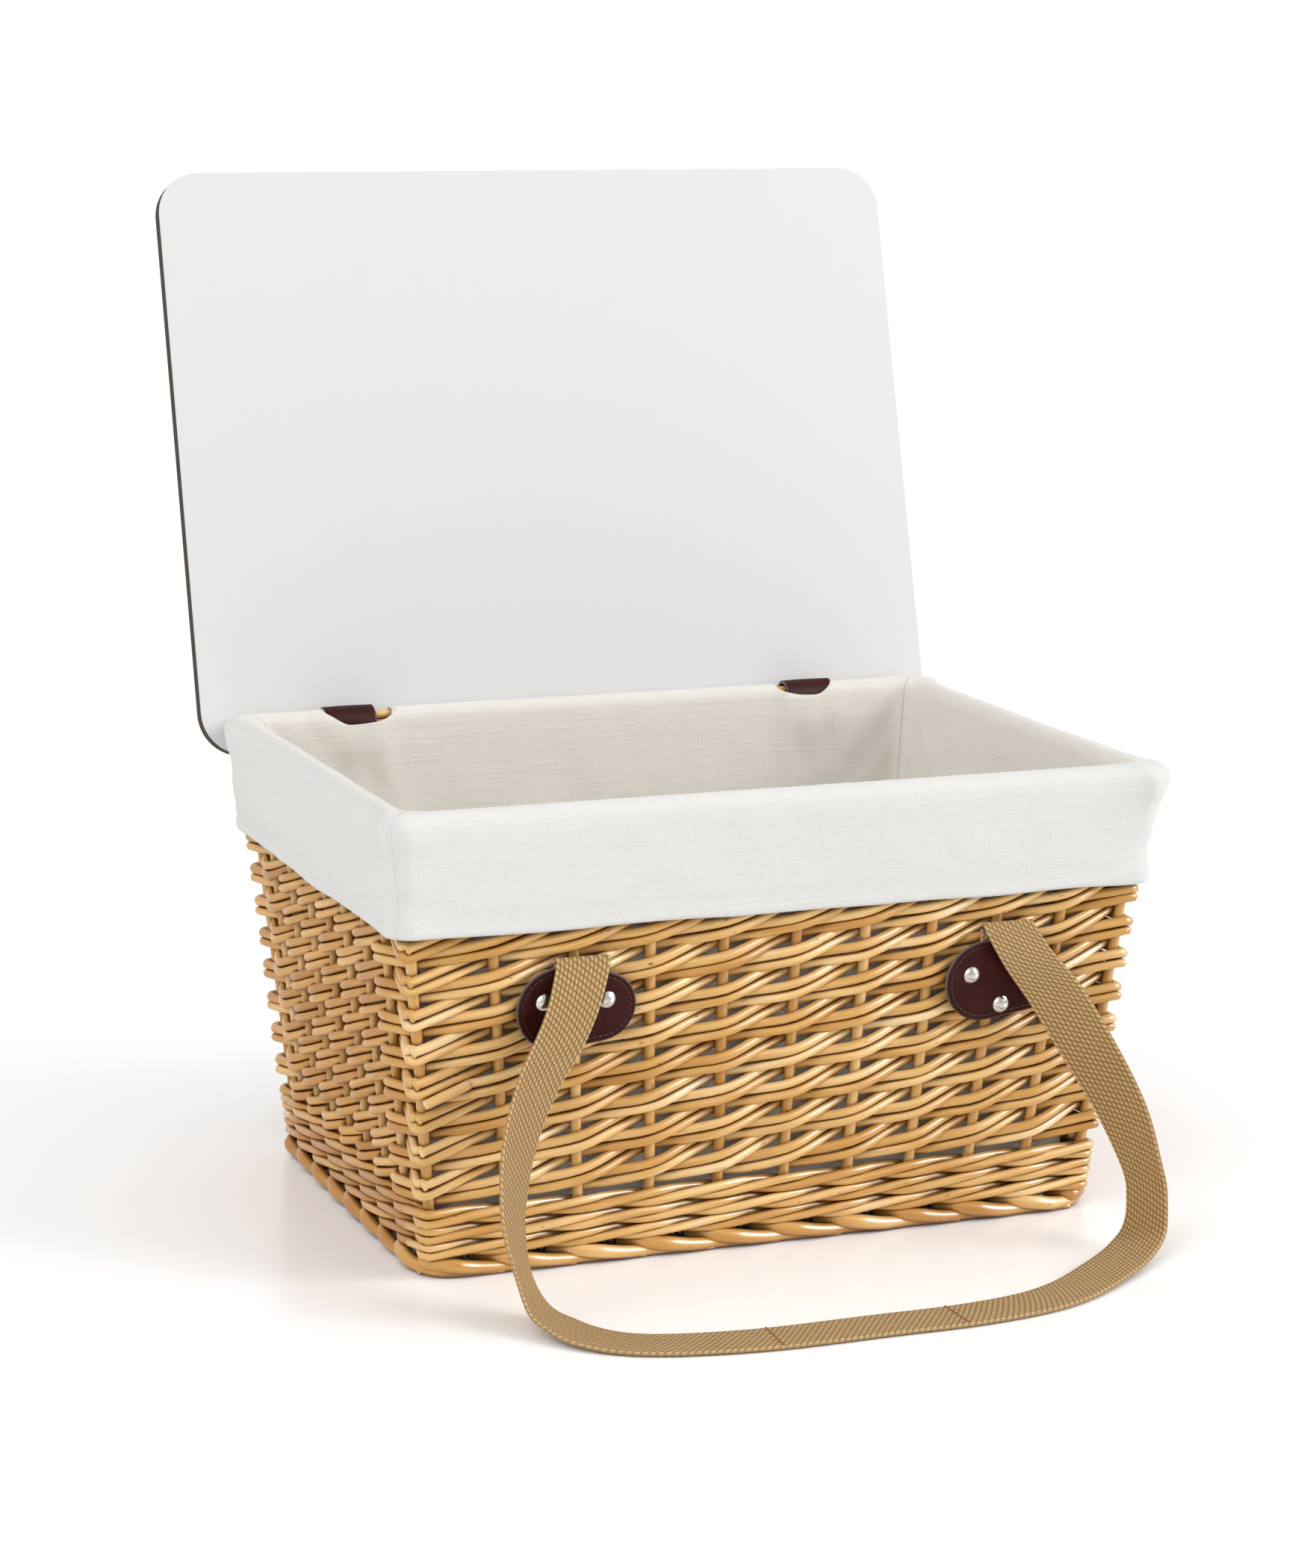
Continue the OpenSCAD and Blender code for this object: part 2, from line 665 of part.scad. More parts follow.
// Handle webbing, as it lies: down from the left fold, along the floor and up to the right fold.
// Each station has the middle of the webbing and the turn of its width, in degrees.
fold_y = -(half_y(fold_z) + fold_out);
floor_rest = webbing_t / 2 + 0.3;
front_lie = [
    [fold_x[0], fold_y - 2, fold_z - 1, 0],
    [-121, -160.5, 150, 6],
    [-130, -164, 132, 13],
    [-145, -170, 110, 25],
    [-158, -179, 82, 37],
    [-165, -190, 54, 48],
    [-166, -198, 36, 56],
    [-164, -207, 20, 64],
    [-160, -220, 9, 66],
    [-153, -236, 4, 66],
    [-143, -252, 2, 68],
    [-126, -265, floor_rest, 76],
    [-100, -274, floor_rest, 84],
    [-58, -280, floor_rest, 89],
    [0, -280, floor_rest, 91],
    [50, -280, floor_rest, 92],
    [90, -274, floor_rest, 98],
    [118, -262, floor_rest, 104],
    [145, -244, 2.5, 106],
    [168, -227, 5, 104],
    [184, -213, 12, 102],
    [191, -203, 27, 104],
    [191, -195, 44, 110],
    [183, -183, 74, 131],
    [164, -169, 113, 150],
    [152, -163.5, 134, 163],
    [138, -160, 153, 173],
    [fold_x[1], fold_y - 2, fold_z - 1, 180]
];
// The rear handle hangs the same way behind the basket, and lies a little further to the right
rear_shift = 25;
rear_lie = [
    for (q = front_lie)
        [q[0] + rear_shift * (fold_z - q[2]) / fold_z, q[1], q[2], q[3]]
];
function unit(v) = v / norm(v);
function xyz(q) = [q[0], q[1], q[2]];
function webbing_ring(lie, i) =
    let (
        last = len(lie) - 1,
        t = unit(xyz(lie[min(i + 1, last)]) - xyz(lie[max(i - 1, 0)])),
        flat = [cos(lie[i][3]), sin(lie[i][3]), 0],
        square_on = min(1, min(i, last - i) / 4),
        w = unit(flat - square_on * (flat * t) * t),
        n = cross(t, w),
        p = xyz(lie[i])
    )
    [for (q = [[-1, -1], [1, -1], [1, 1], [-1, 1]]) p + q[0] * webbing_t / 2 * n + q[1] * webbing_w / 2 * w];
module handle_webbing(lie) {
    color(WEBBING) {
        strands([[for (i = [0:len(lie) - 1]) webbing_ring(lie, i)]]);
        for (i = [0, 1])
            translate([fold_x[i] - webbing_w / 2, fold_y, fold_z]) rotate([0, 90, 0])
                cylinder(r = webbing_t, h = webbing_w);
    }
}
module behind() {
    mirror([0, 1, 0]) children();
}

base_sticks();
base_weave();
foot_border(0);  // front_foot_border
foot_border(1);  // right_foot_border
foot_border(2);  // rear_foot_border
foot_border(3);  // left_foot_border
corner_stakes();
wall_stakes(0);  // front_stakes
wall_stakes(1);  // right_stakes
wall_stakes(2);  // rear_stakes
wall_stakes(3);  // left_stakes
wale(0);  // front_wale
wale(1);  // right_wale
wale(2);  // rear_wale
wale(3);  // left_wale
wall_weave(0);  // front_weave
wall_weave(1);  // right_weave
wall_weave(2);  // rear_weave
wall_weave(3);  // left_weave
corner_weave(0);  // front_left_corner_weave
corner_weave(1);  // front_right_corner_weave
corner_weave(2);  // rear_right_corner_weave
corner_weave(3);  // rear_left_corner_weave
upper_rows();
top_border();
liner_bottom();
liner_long_panel();  // liner_front
liner_rear();
liner_end_panel();  // liner_right
rotate([0, 0, 180]) liner_end_panel();  // liner_left
lid_board();
hinge_loop(-1);  // left_hinge_loop
hinge_loop(1);  // right_hinge_loop
hinge_rivets();
patch(0);  // front_left_patch
patch(1);  // front_right_patch
behind() patch(0);  // rear_left_patch
behind() patch(1);  // rear_right_patch
patch_rivets();  // front_patch_rivets
behind() patch_rivets();  // rear_patch_rivets
webbing_ends();  // front_webbing_ends
behind() webbing_ends();  // rear_webbing_ends
handle_webbing(front_lie);  // front_handle_webbing
behind() handle_webbing(rear_lie);  // rear_handle_webbing
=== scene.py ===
"""Looks of the lidded wicker basket: willow rods, cloth liner, lid, leather, webbing, light and camera."""
import math
import random

import bmesh
import bpy
import numpy as np
from mathutils import Matrix, Vector, noise


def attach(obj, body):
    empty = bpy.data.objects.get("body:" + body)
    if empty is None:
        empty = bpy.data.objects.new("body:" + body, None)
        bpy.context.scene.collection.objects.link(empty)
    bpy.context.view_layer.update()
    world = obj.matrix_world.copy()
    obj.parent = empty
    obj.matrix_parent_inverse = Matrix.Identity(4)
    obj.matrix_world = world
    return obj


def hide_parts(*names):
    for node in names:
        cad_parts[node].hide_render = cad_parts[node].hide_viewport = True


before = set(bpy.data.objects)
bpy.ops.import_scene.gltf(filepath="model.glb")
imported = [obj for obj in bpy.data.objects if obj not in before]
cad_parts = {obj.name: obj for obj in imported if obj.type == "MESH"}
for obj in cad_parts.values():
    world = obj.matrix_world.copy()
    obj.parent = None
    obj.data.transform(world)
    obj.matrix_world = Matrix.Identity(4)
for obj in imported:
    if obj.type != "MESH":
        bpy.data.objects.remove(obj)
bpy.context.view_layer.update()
scene = bpy.context.scene


def polar(degrees):
    a = math.radians(degrees)
    return math.cos(a), math.sin(a)


# Sizes of the CAD model, in millimetres
MM = 0.001  # a millimetre in Blender's metres
WALL_LEAN = 5.5
TAN = math.tan(math.radians(WALL_LEAN))
HALF_X, HALF_Y, BORDER_Z, INSET, DRIFT = 187.8, 125.6, 245.5, 2.0, 10.0
STAKE_D, WEAVER_D, WALE_D, FOOT_D, BORDER_D, GAP = 5.0, 4.0, 4.4, 5.0, 5.6, 0.2
WEAVE_Z, PITCH, SLANT, LEVELS = 50.5, 18.6, 0.62, 8
WALE_Z, ROUNDS = 10.6, 3
(LID_COS, LID_SIN), LID_SHIFT, LOOP_SPAN, LOOP_W = polar(15.7), -4.0, 288.0, 30.0  # the lid's lean
LOOP_X = (LID_SHIFT - LOOP_SPAN / 2, LID_SHIFT + LOOP_SPAN / 2)
LID_AXIS_Y, LID_AXIS_Z = BORDER_Z * TAN + HALF_Y + 1.3, BORDER_Z - 0.8
# Stakes are counted from 0 to LAST_K along a long wall, to LAST_J along an end wall, to ALL round the basket
LAST_K, LAST_J = 10, 8
ALL = 2 * LAST_K + 2 * LAST_J
FIRST = [0, LAST_K, LAST_K + LAST_J, 2 * LAST_K + LAST_J]
WALLS = ("front", "right", "rear", "left")
OUT = [(0, -1), (1, 0), (0, 1), (-1, 0)]
CORNERS = ("front_left", "front_right", "rear_right", "rear_left")
SIGNS = [(-1, -1), (1, -1), (1, 1), (-1, 1)]


def half_x(z): return HALF_X + z * TAN
def half_y(z): return HALF_Y + z * TAN
def level_z(t): return WEAVE_Z + PITCH * t
def side_y(j, z): return (2 * j / LAST_J - 1) * (half_y(z) - INSET)


def front_x(k, z):
    return (2 * k / LAST_K - 1) * (half_x(z) - INSET) + DRIFT * math.sin(math.pi * k / LAST_K)


def corner_xy(c, z):
    return np.array(SIGNS[c]) * (half_x(z) - INSET, half_y(z) - INSET)


# --- lines and meshes
def unit(v): return v / np.linalg.norm(v)


def tangents(path):
    t = np.gradient(path, axis=0)
    return t / np.linalg.norm(t, axis=1)[:, None]


def length_along(path):
    """The length of the path up to each of its points."""
    return np.concatenate([[0], np.cumsum(np.linalg.norm(np.diff(path, axis=0), axis=1))])


def spline(points, per, ease=0.42):
    """A smooth line through the points: a cardinal spline with tangents of ease times the chord."""
    p = np.asarray(points, float)
    n = len(p)
    tang = np.zeros_like(p)
    tang[1:-1] = ease * (p[2:] - p[:-2])
    tang[0] = ease * (p[1] - p[0])
    tang[-1] = ease * (p[-1] - p[-2])
    out = []
    for i in range(n - 1):
        for s in range(per):
            t = s / per
            h = (2 * t**3 - 3 * t**2 + 1, t**3 - 2 * t**2 + t, -2 * t**3 + 3 * t**2, t**3 - t**2)
            out.append(h[0] * p[i] + h[1] * tang[i] + h[2] * p[i + 1] + h[3] * tang[i + 1])
    out.append(p[-1])
    return np.array(out)


def bell(x, mid, wide): return math.exp(-((x - mid) / wide) ** 2)


def smooth_box(x, mid, half, soft_edge):
    """1 within half of mid, falling smoothly to 0 over soft_edge."""
    t = min(1.0, max(0.0, (abs(x - mid) - half) / soft_edge))
    return 1 - t * t * (3 - 2 * t)


def ring_faces(rings, m, base=0):
    """The faces between closed rings of m points each, then a cap on the first and on the last ring."""
    faces = [[a + j, a + (j + 1) % m, a + m + (j + 1) % m, a + m + j]
             for a in range(base, base + (rings - 1) * m, m) for j in range(m)]
    return faces + [[base + j for j in range(m)][::-1], [base + (rings - 1) * m + j for j in range(m)]]


def smooth_mesh(name, verts, faces, flip=False):
    """A mesh from points in millimetres. flip: made for the front wall, and mirrored to the rear one."""
    verts = np.array(verts)
    if flip:
        verts[:, 1] *= -1
        faces = [f[::-1] for f in faces]
    mesh = bpy.data.meshes.new(name)
    mesh.from_pydata((verts * MM).tolist(), [], faces)
    mesh.shade_smooth()
    return mesh


def point_data(mesh, name, values):
    """Stores a number or a vector at each point, for the materials."""
    values = np.asarray(values, np.float32)
    kind, field = ("FLOAT", "value") if values.ndim == 1 else ("FLOAT_VECTOR", "vector")
    mesh.attributes.new(name, kind, "POINT").data.foreach_set(field, values.ravel())


def uv_layer(mesh, uvs, once_round=0.0):
    """Each point's place on its cloth in metres. once_round: the length that brings back the first column."""
    layer = mesh.uv_layers.new(name="cloth")
    loops = np.zeros(len(mesh.loops), np.int32)
    mesh.loops.foreach_get("vertex_index", loops)
    uv = np.asarray(uvs, np.float32)[loops]
    for face in mesh.polygons if once_round else ():
        own = uv[face.loop_start:face.loop_start + face.loop_total]
        if face.loop_total == 4 and np.ptp(own[:, 0]) > once_round / 2:
            own[own[:, 0] < once_round / 2, 0] += once_round
    layer.data.foreach_set("uv", uv.ravel())


def add_object(data):
    o = bpy.data.objects.new(data.name, data)
    scene.collection.objects.link(o)
    return o


def place(mesh, material, body, *nodes):
    """Makes the mesh a piece that rides on the body and stands for the CAD nodes."""
    mesh.materials.append(material)
    o = add_object(mesh)
    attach(o, body)
    if nodes:
        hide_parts(*nodes)
    return o


GRAIN_R = 2.2  # the radius at which a rod's grain is drawn
CAP_RIM, CAP_OUT, CAP_TOP = 0.86, 0.25, 0.3  # a rod's cut end, as shares of its radius


class Rods:
    """A piece made of many willow rods. Each point knows its rod's tint and its place in the rod."""

    def __init__(self, name):
        self.name, self.v, self.f, self.tint, self.grain, self.cut, self.n = name, [], [], [], [], [], 0

    def add(self, path, r, sides=8, tint=0.5, start=0.0):
        path = np.asarray(path, float)
        n = len(path)
        r = np.broadcast_to(np.asarray(r, float), (n,))
        t = tangents(path)
        along = length_along(path) + start
        last = np.array([0.0, 0.0, 1.0]) if abs(t[0][2]) < 0.8 else np.array([1.0, 0.0, 0.0])
        u = np.zeros_like(t)
        for i in range(n):
            last = unit(last - (last @ t[i]) * t[i])
            u[i] = last
        w = np.cross(t, u)
        a = np.arange(sides) * 2 * math.pi / sides
        ca, sa = np.cos(a)[None, :, None], np.sin(a)[None, :, None]
        ring = path[:, None, :] + r[:, None, None] * (ca * u[:, None, :] + sa * w[:, None, :])
        g = np.stack(np.broadcast_arrays(ca[..., 0] * GRAIN_R, sa[..., 0] * GRAIN_R, along[:, None]), axis=2)
        base = self.n
        self.v.append(ring.reshape(-1, 3))
        self.grain.append(g.reshape(-1, 3))
        self.f += ring_faces(n, sides, base)[:-2]
        count = n * sides
        self.cut += [0.0] * count
        for end in (0, n - 1):
            out, mid = (t[-1] if end else -t[0]), path[end]
            rim = mid + CAP_RIM * (ring[end] - mid) + out * CAP_OUT * r[end]
            self.v.append(np.vstack([rim, mid + out * CAP_TOP * r[end]]))
            self.grain.append(np.vstack([g[end], g[end][:1]]))
            b, c = base + end * sides, base + count
            for k in range(sides):
                p, q = (k, (k + 1) % sides) if end else ((k + 1) % sides, k)
                self.f += [[b + p, b + q, c + q, c + p], [c + p, c + q, c + sides]]
            count += sides + 1
            self.cut += [1.0] * (sides + 1)
        self.tint += [tint] * count
        self.n += count

    def make(self, *nodes, material=None, body="basket", flip=False):
        mesh = smooth_mesh(self.name, np.vstack(self.v), self.f, flip)
        point_data(mesh, "tint", self.tint)
        point_data(mesh, "cut", self.cut)
        point_data(mesh, "grain", np.vstack(self.grain))
        place(mesh, material or WILLOW, body, *nodes)


# --- node materials
class Nodes:
    """Short calls for building the nodes of a material, or of the world."""

    def __init__(self, name, kind="materials", shader="Principled BSDF"):
        self.owner = getattr(bpy.data, kind).new(name)
        self.owner.use_nodes = True
        self.t = self.owner.node_tree
        self.shader = self.t.nodes[shader]

    def new(self, kind, inputs=(), **props):
        n = self.t.nodes.new(kind)
        for k, v in props.items():
            setattr(n, k, v)
        for k, v in dict(inputs).items():
            self.put(n.inputs[k], v)
        return n

    def put(self, socket, v):
        if isinstance(v, bpy.types.NodeSocket):
            self.t.links.new(v, socket)
        else:
            socket.default_value = v

    def math(self, op, *args, clamp=False):
        return self.new("ShaderNodeMath", enumerate(args), operation=op, use_clamp=clamp).outputs[0]

    def add(self, a, b, clamp=False): return self.math("ADD", a, b, clamp=clamp)
    def sub(self, a, b): return self.math("SUBTRACT", a, b)
    def mul(self, a, b): return self.math("MULTIPLY", a, b)

    def dot(self, a, b):
        return self.new("ShaderNodeVectorMath", {0: a, 1: b}, operation="DOT_PRODUCT").outputs["Value"]

    def attr(self, name, out="Fac"):
        return self.new("ShaderNodeAttribute", attribute_name=name).outputs[out]

    def object_at(self): return self.new("ShaderNodeTexCoord").outputs["Object"]
    def cloth_at(self): return self.new("ShaderNodeUVMap", uv_map="cloth").outputs[0]

    def scaled(self, vector, scale):
        return self.new("ShaderNodeMapping", {"Vector": vector, "Scale": scale}).outputs[0]

    def noise(self, vector, scale, detail=3.0, rough=0.5, w=None):
        """scale: one number, or one for each direction. w: makes the pattern another one where it differs."""
        if isinstance(scale, tuple):
            vector, scale = self.scaled(vector, scale), 1.0
        n = self.new("ShaderNodeTexNoise", noise_dimensions="3D" if w is None else "4D",
                     inputs={"Vector": vector, "Scale": scale, "Detail": detail, "Roughness": rough})
        if w is not None:
            self.put(n.inputs["W"], w)
        return n.outputs[0]

    def ramp(self, fac, *stops):
        n = self.new("ShaderNodeValToRGB", {"Fac": fac})
        e = n.color_ramp.elements
        while len(e) < len(stops):
            e.new(0.5)
        for el, (pos, col) in zip(e, stops):
            el.position, el.color = pos, (*col, 1)
        return n.outputs[0]

    def rise(self, value, low, high):
        """0 below low and 1 above high."""
        return self.ramp(value, (low, (0, 0, 0)), (high, (1, 1, 1)))

    def mix(self, fac, a, b, mode="MIX"):
        n = self.new("ShaderNodeMix", data_type="RGBA", blend_type=mode)
        self.put(n.inputs["Factor"], fac)
        for k, v in (("A", a), ("B", b)):
            s = [x for x in n.inputs if x.name == k and x.type == "RGBA"][0]
            self.put(s, (*v, 1) if isinstance(v, tuple) else v)
        return [x for x in n.outputs if x.type == "RGBA"][0]

    def near(self, value, place, reach):
        """1 where the value is at this place, falling smoothly to 0 at the reach."""
        away = self.math("ABSOLUTE", self.sub(value, place))
        return self.new("ShaderNodeMapRange", {0: away, 1: 0.0, 2: reach, 3: 1.0, 4: 0.0},
                        interpolation_type="SMOOTHSTEP").outputs[0]

    def bump(self, height, distance, strength, normal=None):
        n = self.new("ShaderNodeBump", {"Height": height, "Distance": distance, "Strength": strength})
        if normal is not None:
            self.put(n.inputs["Normal"], normal)
        return n.outputs[0]

    def end(self, color, rough, normal=None, **sockets):
        sockets |= {"Base_Color": color, "Roughness": rough} | ({} if normal is None else {"Normal": normal})
        for k, v in sockets.items():
            self.put(self.shader.inputs[k.replace("_", " ")], v)
        return self.owner


def willow(name, own=True):
    """Varnished buff willow. own: the mesh carries each rod's tint and grain, else the place stands in."""
    n = Nodes(name)
    if own:
        tint, cut, grain = n.attr("tint"), n.attr("cut"), n.attr("grain", "Vector")
    else:
        grain = n.scaled(n.object_at(), (1000, 1000, 1000))
        tint, cut = n.noise(grain, 0.02), 0.0
    w = n.mul(tint, 37.0)
    long_wave = n.noise(grain, (0.12, 0.12, 0.016), 2, w=w)
    streak = n.noise(grain, (1.3, 1.3, 0.035), 4, 0.6, w)
    fleck = n.noise(grain, (0.75, 0.75, 0.16), 1, w=n.add(w, 5.0))
    tone = n.add(n.mul(tint, 0.75), n.mul(n.sub(long_wave, 0.5), 1.1))
    tone = n.add(tone, n.mul(n.sub(streak, 0.5), 0.55))
    color = n.ramp(tone, (0.0, (0.42, 0.185, 0.030)), (0.3, (0.56, 0.290, 0.066)),
                   (0.62, (0.74, 0.475, 0.185)), (1.0, (0.85, 0.68, 0.43)))
    color = n.mix(n.mul(n.rise(fleck, 0.72, 0.78), 0.75), color, (0.10, 0.035, 0.010))
    color = n.mix(cut, color, (0.72, 0.56, 0.34))
    # painted shade darkens the grooves between the rods, where they shadow each other, along with the varnish
    # stain that gathers there
    groove_shade = n.new("ShaderNodeAmbientOcclusion", {"Distance": 0.007}, samples=6).outputs["AO"]
    color = n.mix(1.0, color, n.ramp(groove_shade, (0.20, (0.32, 0.21, 0.11)), (0.64, (1.0, 1.0, 1.0))), "MULTIPLY")
    return n.end(color, n.add(0.30, n.mul(streak, 0.18)), n.bump(streak, 0.00035, 0.6),
                 Coat_Weight=0.5, Coat_Roughness=0.25, Coat_IOR=1.5, Specular_IOR_Level=0.3)


def canvas(name, outside, inside, seams, hem):
    """Washed cotton canvas: plain weave, slubs, soft creases, a seam at each corner, a stitched hem, and an
    inside tinted with painted shade.
    """
    n = Nodes(name)
    uv = n.cloth_at()
    at = n.new("ShaderNodeSeparateXYZ", {"Vector": uv}).outputs
    side = n.attr("inner")
    weave = n.mul(*[n.math("SINE", n.mul(at[i], 1100 * math.pi)) for i in (0, 1)])
    slub_x, slub_y = n.noise(uv, (60, 1500, 1), 2), n.noise(uv, (1500, 60, 1), 2)
    thick = n.rise(n.noise(uv, (16, 420, 1), 2), 0.48, 0.72)
    soft = n.noise(uv, (26, 26, 1), 4, 0.55)
    cloud = n.noise(uv, (9, 14, 1), 2)
    slubs = n.mul(n.sub(n.add(slub_x, slub_y), 1.0), 0.22)
    # the inside, marked by inner, is tinted warmer cream and blotched brown: partly the unbleached cotton,
    # partly painted shade and warm bounce light from the willow
    color = n.mix(n.add(0.12, slubs, clamp=True), n.mix(side, outside, inside), (0.56, 0.51, 0.44))
    color = n.mix(n.mul(thick, n.add(0.015, n.mul(side, 0.075))), color, (0.50, 0.44, 0.36))
    color = n.mix(n.mul(cloud, n.mul(side, 0.16)), color, (0.60, 0.53, 0.43))
    grain = n.noise(uv, (800, 800, 1), 2)
    color = n.mix(n.mul(n.rise(grain, 0.45, 0.65), 0.07), color, (0.40, 0.37, 0.32))
    seam = 0.0
    for seam_u in seams:
        seam = n.add(seam, n.near(at[0], seam_u, 0.0014))
    dash = n.math("GREATER_THAN", n.math("FRACT", n.mul(at[0], 310.0)), 0.28)
    stitch = n.mul(n.near(at[1], hem, 0.0007), dash)
    line = n.add(n.mul(n.math("POWER", seam, 3.0), n.add(0.12, n.mul(side, 0.35))), n.mul(stitch, 0.14))
    color = n.mix(line, color, (0.30, 0.27, 0.23))
    height = n.add(n.mul(weave, 0.25), n.add(slub_x, n.add(slub_y, n.mul(thick, 0.4))))
    normal = n.bump(soft, 0.004, 0.35)
    normal = n.bump(n.add(seam, n.near(at[1], hem, 0.0020)), 0.0008, -0.5, normal)
    normal = n.bump(height, 0.0003, 0.8, normal)
    return n.end(color, 0.92, normal, Sheen_Weight=0.15, Specular_IOR_Level=0.2)


def leather(name):
    n = Nodes(name)
    at = n.object_at()
    pores = n.new("ShaderNodeTexVoronoi", {"Vector": at, "Scale": 1400.0}).outputs["Distance"]
    cloud = n.noise(at, 60.0, 4, 0.6)
    color = n.ramp(cloud, (0.25, (0.020, 0.0030, 0.0020)), (0.75, (0.050, 0.0070, 0.0045)))
    color = n.mix(n.attr("edge"), color, (0.16, 0.15, 0.15))
    normal = n.bump(pores, 0.0002, 0.35, n.bump(cloud, 0.002, 0.2))
    return n.end(color, n.add(0.40, n.mul(cloud, 0.2)), normal, Specular_IOR_Level=0.10)


BEAD_ACROSS, BEAD_ALONG, BEAD_LEAN = 0.00232, 0.0034, 0.42  # the webbing's beads, in metres, and their slant


def webbing(name):
    """Cotton webbing: columns of short slanting beads, as thick yarns make."""
    n = Nodes(name)
    uv = n.cloth_at()
    sep = n.new("ShaderNodeSeparateXYZ", {"Vector": uv}).outputs
    across = n.mul(sep[0], 1.0 / BEAD_ACROSS)
    part = n.math("FRACT", across)
    along = n.add(n.mul(sep[1], 1.0 / BEAD_ALONG), n.mul(n.math("FLOOR", across), 0.5))
    places = part, n.math("FRACT", n.sub(along, n.mul(part, BEAD_LEAN)))
    waves = [n.math("ABSOLUTE", n.math("SINE", n.mul(p, math.pi))) for p in places]
    bead = n.mul(*[n.math("POWER", wave, 0.8) for wave in waves])
    fibre = n.noise(uv, (5000, 1800, 1))
    wide = n.noise(uv, (70, 25, 1))
    color = n.ramp(bead, (0.10, (0.125, 0.060, 0.016)), (0.70, (0.60, 0.370, 0.135)))
    color = n.mix(n.mul(fibre, 0.35), color, (0.66, 0.44, 0.18))
    color = n.mix(n.mul(wide, 0.30), color, (0.42, 0.25, 0.08))
    # the outermost columns are of another yarn
    selvedge = n.math("LESS_THAN", n.math("PINGPONG", across, 6.5), 0.6)
    color = n.mix(selvedge, color, n.mix(bead, (0.30, 0.17, 0.06), (0.68, 0.47, 0.22)))
    normal = n.bump(fibre, 0.0003, 0.4, n.bump(bead, 0.0012, 1.0))
    return n.end(color, 0.85, normal, Sheen_Weight=0.1, Specular_IOR_Level=0.25)


def lid_board(name):
    """A white board with a dark edge. The board's own normal tells its faces from its edge at any pose."""
    n = Nodes(name)
    facing = n.new("ShaderNodeVectorTransform", {0: n.new("ShaderNodeNewGeometry").outputs["True Normal"]},
                   vector_type="NORMAL", convert_from="WORLD", convert_to="OBJECT").outputs[0]
    edge = n.math("LESS_THAN", n.math("ABSOLUTE", n.dot(facing, (0, -LID_COS, LID_SIN))), 0.7)
    at = n.object_at()
    fibre = n.noise(at, (40, 400, 400), 4)
    face = n.mix(n.noise(at, 3.0, 2), (0.60, 0.597, 0.59), (0.61, 0.607, 0.60))
    color = n.mix(edge, face, n.mix(fibre, (0.030, 0.022, 0.014), (0.075, 0.055, 0.038)))
    return n.end(color, n.add(0.60, n.mul(edge, 0.2)), n.bump(n.noise(at, 900.0, 2), 0.0001, 0.25),
                 Specular_IOR_Level=0.25)


def nickel(name):
    n = Nodes(name)
    wear = n.noise(n.object_at(), 700.0)
    color = n.mix(wear, (0.66, 0.63, 0.59), (0.50, 0.47, 0.43))
    return n.end(color, n.add(0.12, n.mul(wear, 0.14)), Metallic=1.0)


def thread(name, color):
    n = Nodes(name)
    twist = n.noise(n.object_at(), 2500.0, 2)
    return n.end(n.mix(twist, color, tuple(1.6 * c for c in color)), 0.7, n.bump(twist, 0.0001, 0.5))


WILLOW, WILLOW_CAD = willow("willow_rods"), willow("willow_plain", own=False)
LEATHER, WEBBING = leather("oxblood_leather"), webbing("cotton_webbing")
NICKEL, LID = nickel("nickel"), lid_board("white_board")
THREAD = thread("rust_thread", (0.22, 0.045, 0.018))
DARK_THREAD = thread("dark_thread", (0.030, 0.006, 0.005))

# --- stations of the weave: a point and the way out
def station(x, y, z, nx, ny): return np.array([x, y, z], float), unit(np.array([nx, ny, 0.0]))


def front_at(k, off, z): return station(front_x(k, z), -(half_y(z) + off), z, 0, -1)
def right_at(j, off, z): return station(half_x(z) + off, side_y(j, z), z, 1, 0)
def left_at(j, off, z): return station(-(half_x(z) + off), side_y(j, z), z, -1, 0)


def round_corner(c, reach, z):
    ways = [np.array(polar(90 * c + a)) for a in (180, 225, 270)]
    return [station(*(corner_xy(c, z) + reach * 1.13 * way), z, *way) for way in ways]


def inside_corner(c, reach, z):
    return station(*(corner_xy(c, z) - reach * 0.75 * np.array(SIGNS[c])), z, *SIGNS[c])


def half_turn(stations, turn):
    """The rear and left walls are the front and right ones, turned by half a turn."""
    flip = np.array([-1, -1, 1])
    return [(p * flip, n * flip) for p, n in stations] if turn else stations


def reach_of(d): return (STAKE_D + d) / 2 + GAP
def off_of(d): return reach_of(d) / math.cos(math.atan(reach_of(d) * LAST_J / HALF_Y))


# --- willow pieces
rng = random.Random(41)
# The rods press on each other here, where the solids keep a clearance
ROD_D, UPRIGHT_D, WALE_ROD_D, FOOT_ROD_D = 5.35, 6.0, 4.75, 7.6
# The height of the lowest pair of rods, which rests on the wale
WEAVE_LOW = 43.4
# A foot rod's route: stakes from its start, then its way out, height and size in shares of its thickness
FOOT_ROUTE = ((-0.34, -1.5, 1.45, 1.0), (-0.08, 0.7, 1.60, 1.05), (0.22, 1.35, 1.32, 1.08),
              (0.6, 1.15, 0.82, 0.98), (1.1, 0.8, 0.56, 0.76), (1.9, 1.2, 0.26, 0.3))
# The rods' mean tint on each wall, from 0 (brown) to 1 (pale), and its change lower down and at the corners. The
# walls differ by painted shade: the left wall, turned from the key light, is set darkest and the front lightest.
WALL_TONE_AND_SHADE, WALE_TINT, FOOT_TINT, CORNER_TINT = (0.62, 0.5, 0.55, 0.36), -0.14, -0.2, 0.04
BASE_Z, BASE_STICKS, BASE_WAVES, BASE_RODS = 7.2, 5, 23, 4


def tone(mean): return min(0.98, max(0.02, rng.gauss(mean, 0.13)))
def skin(mean): return {"tint": tone(mean), "start": rng.uniform(0, 900)}


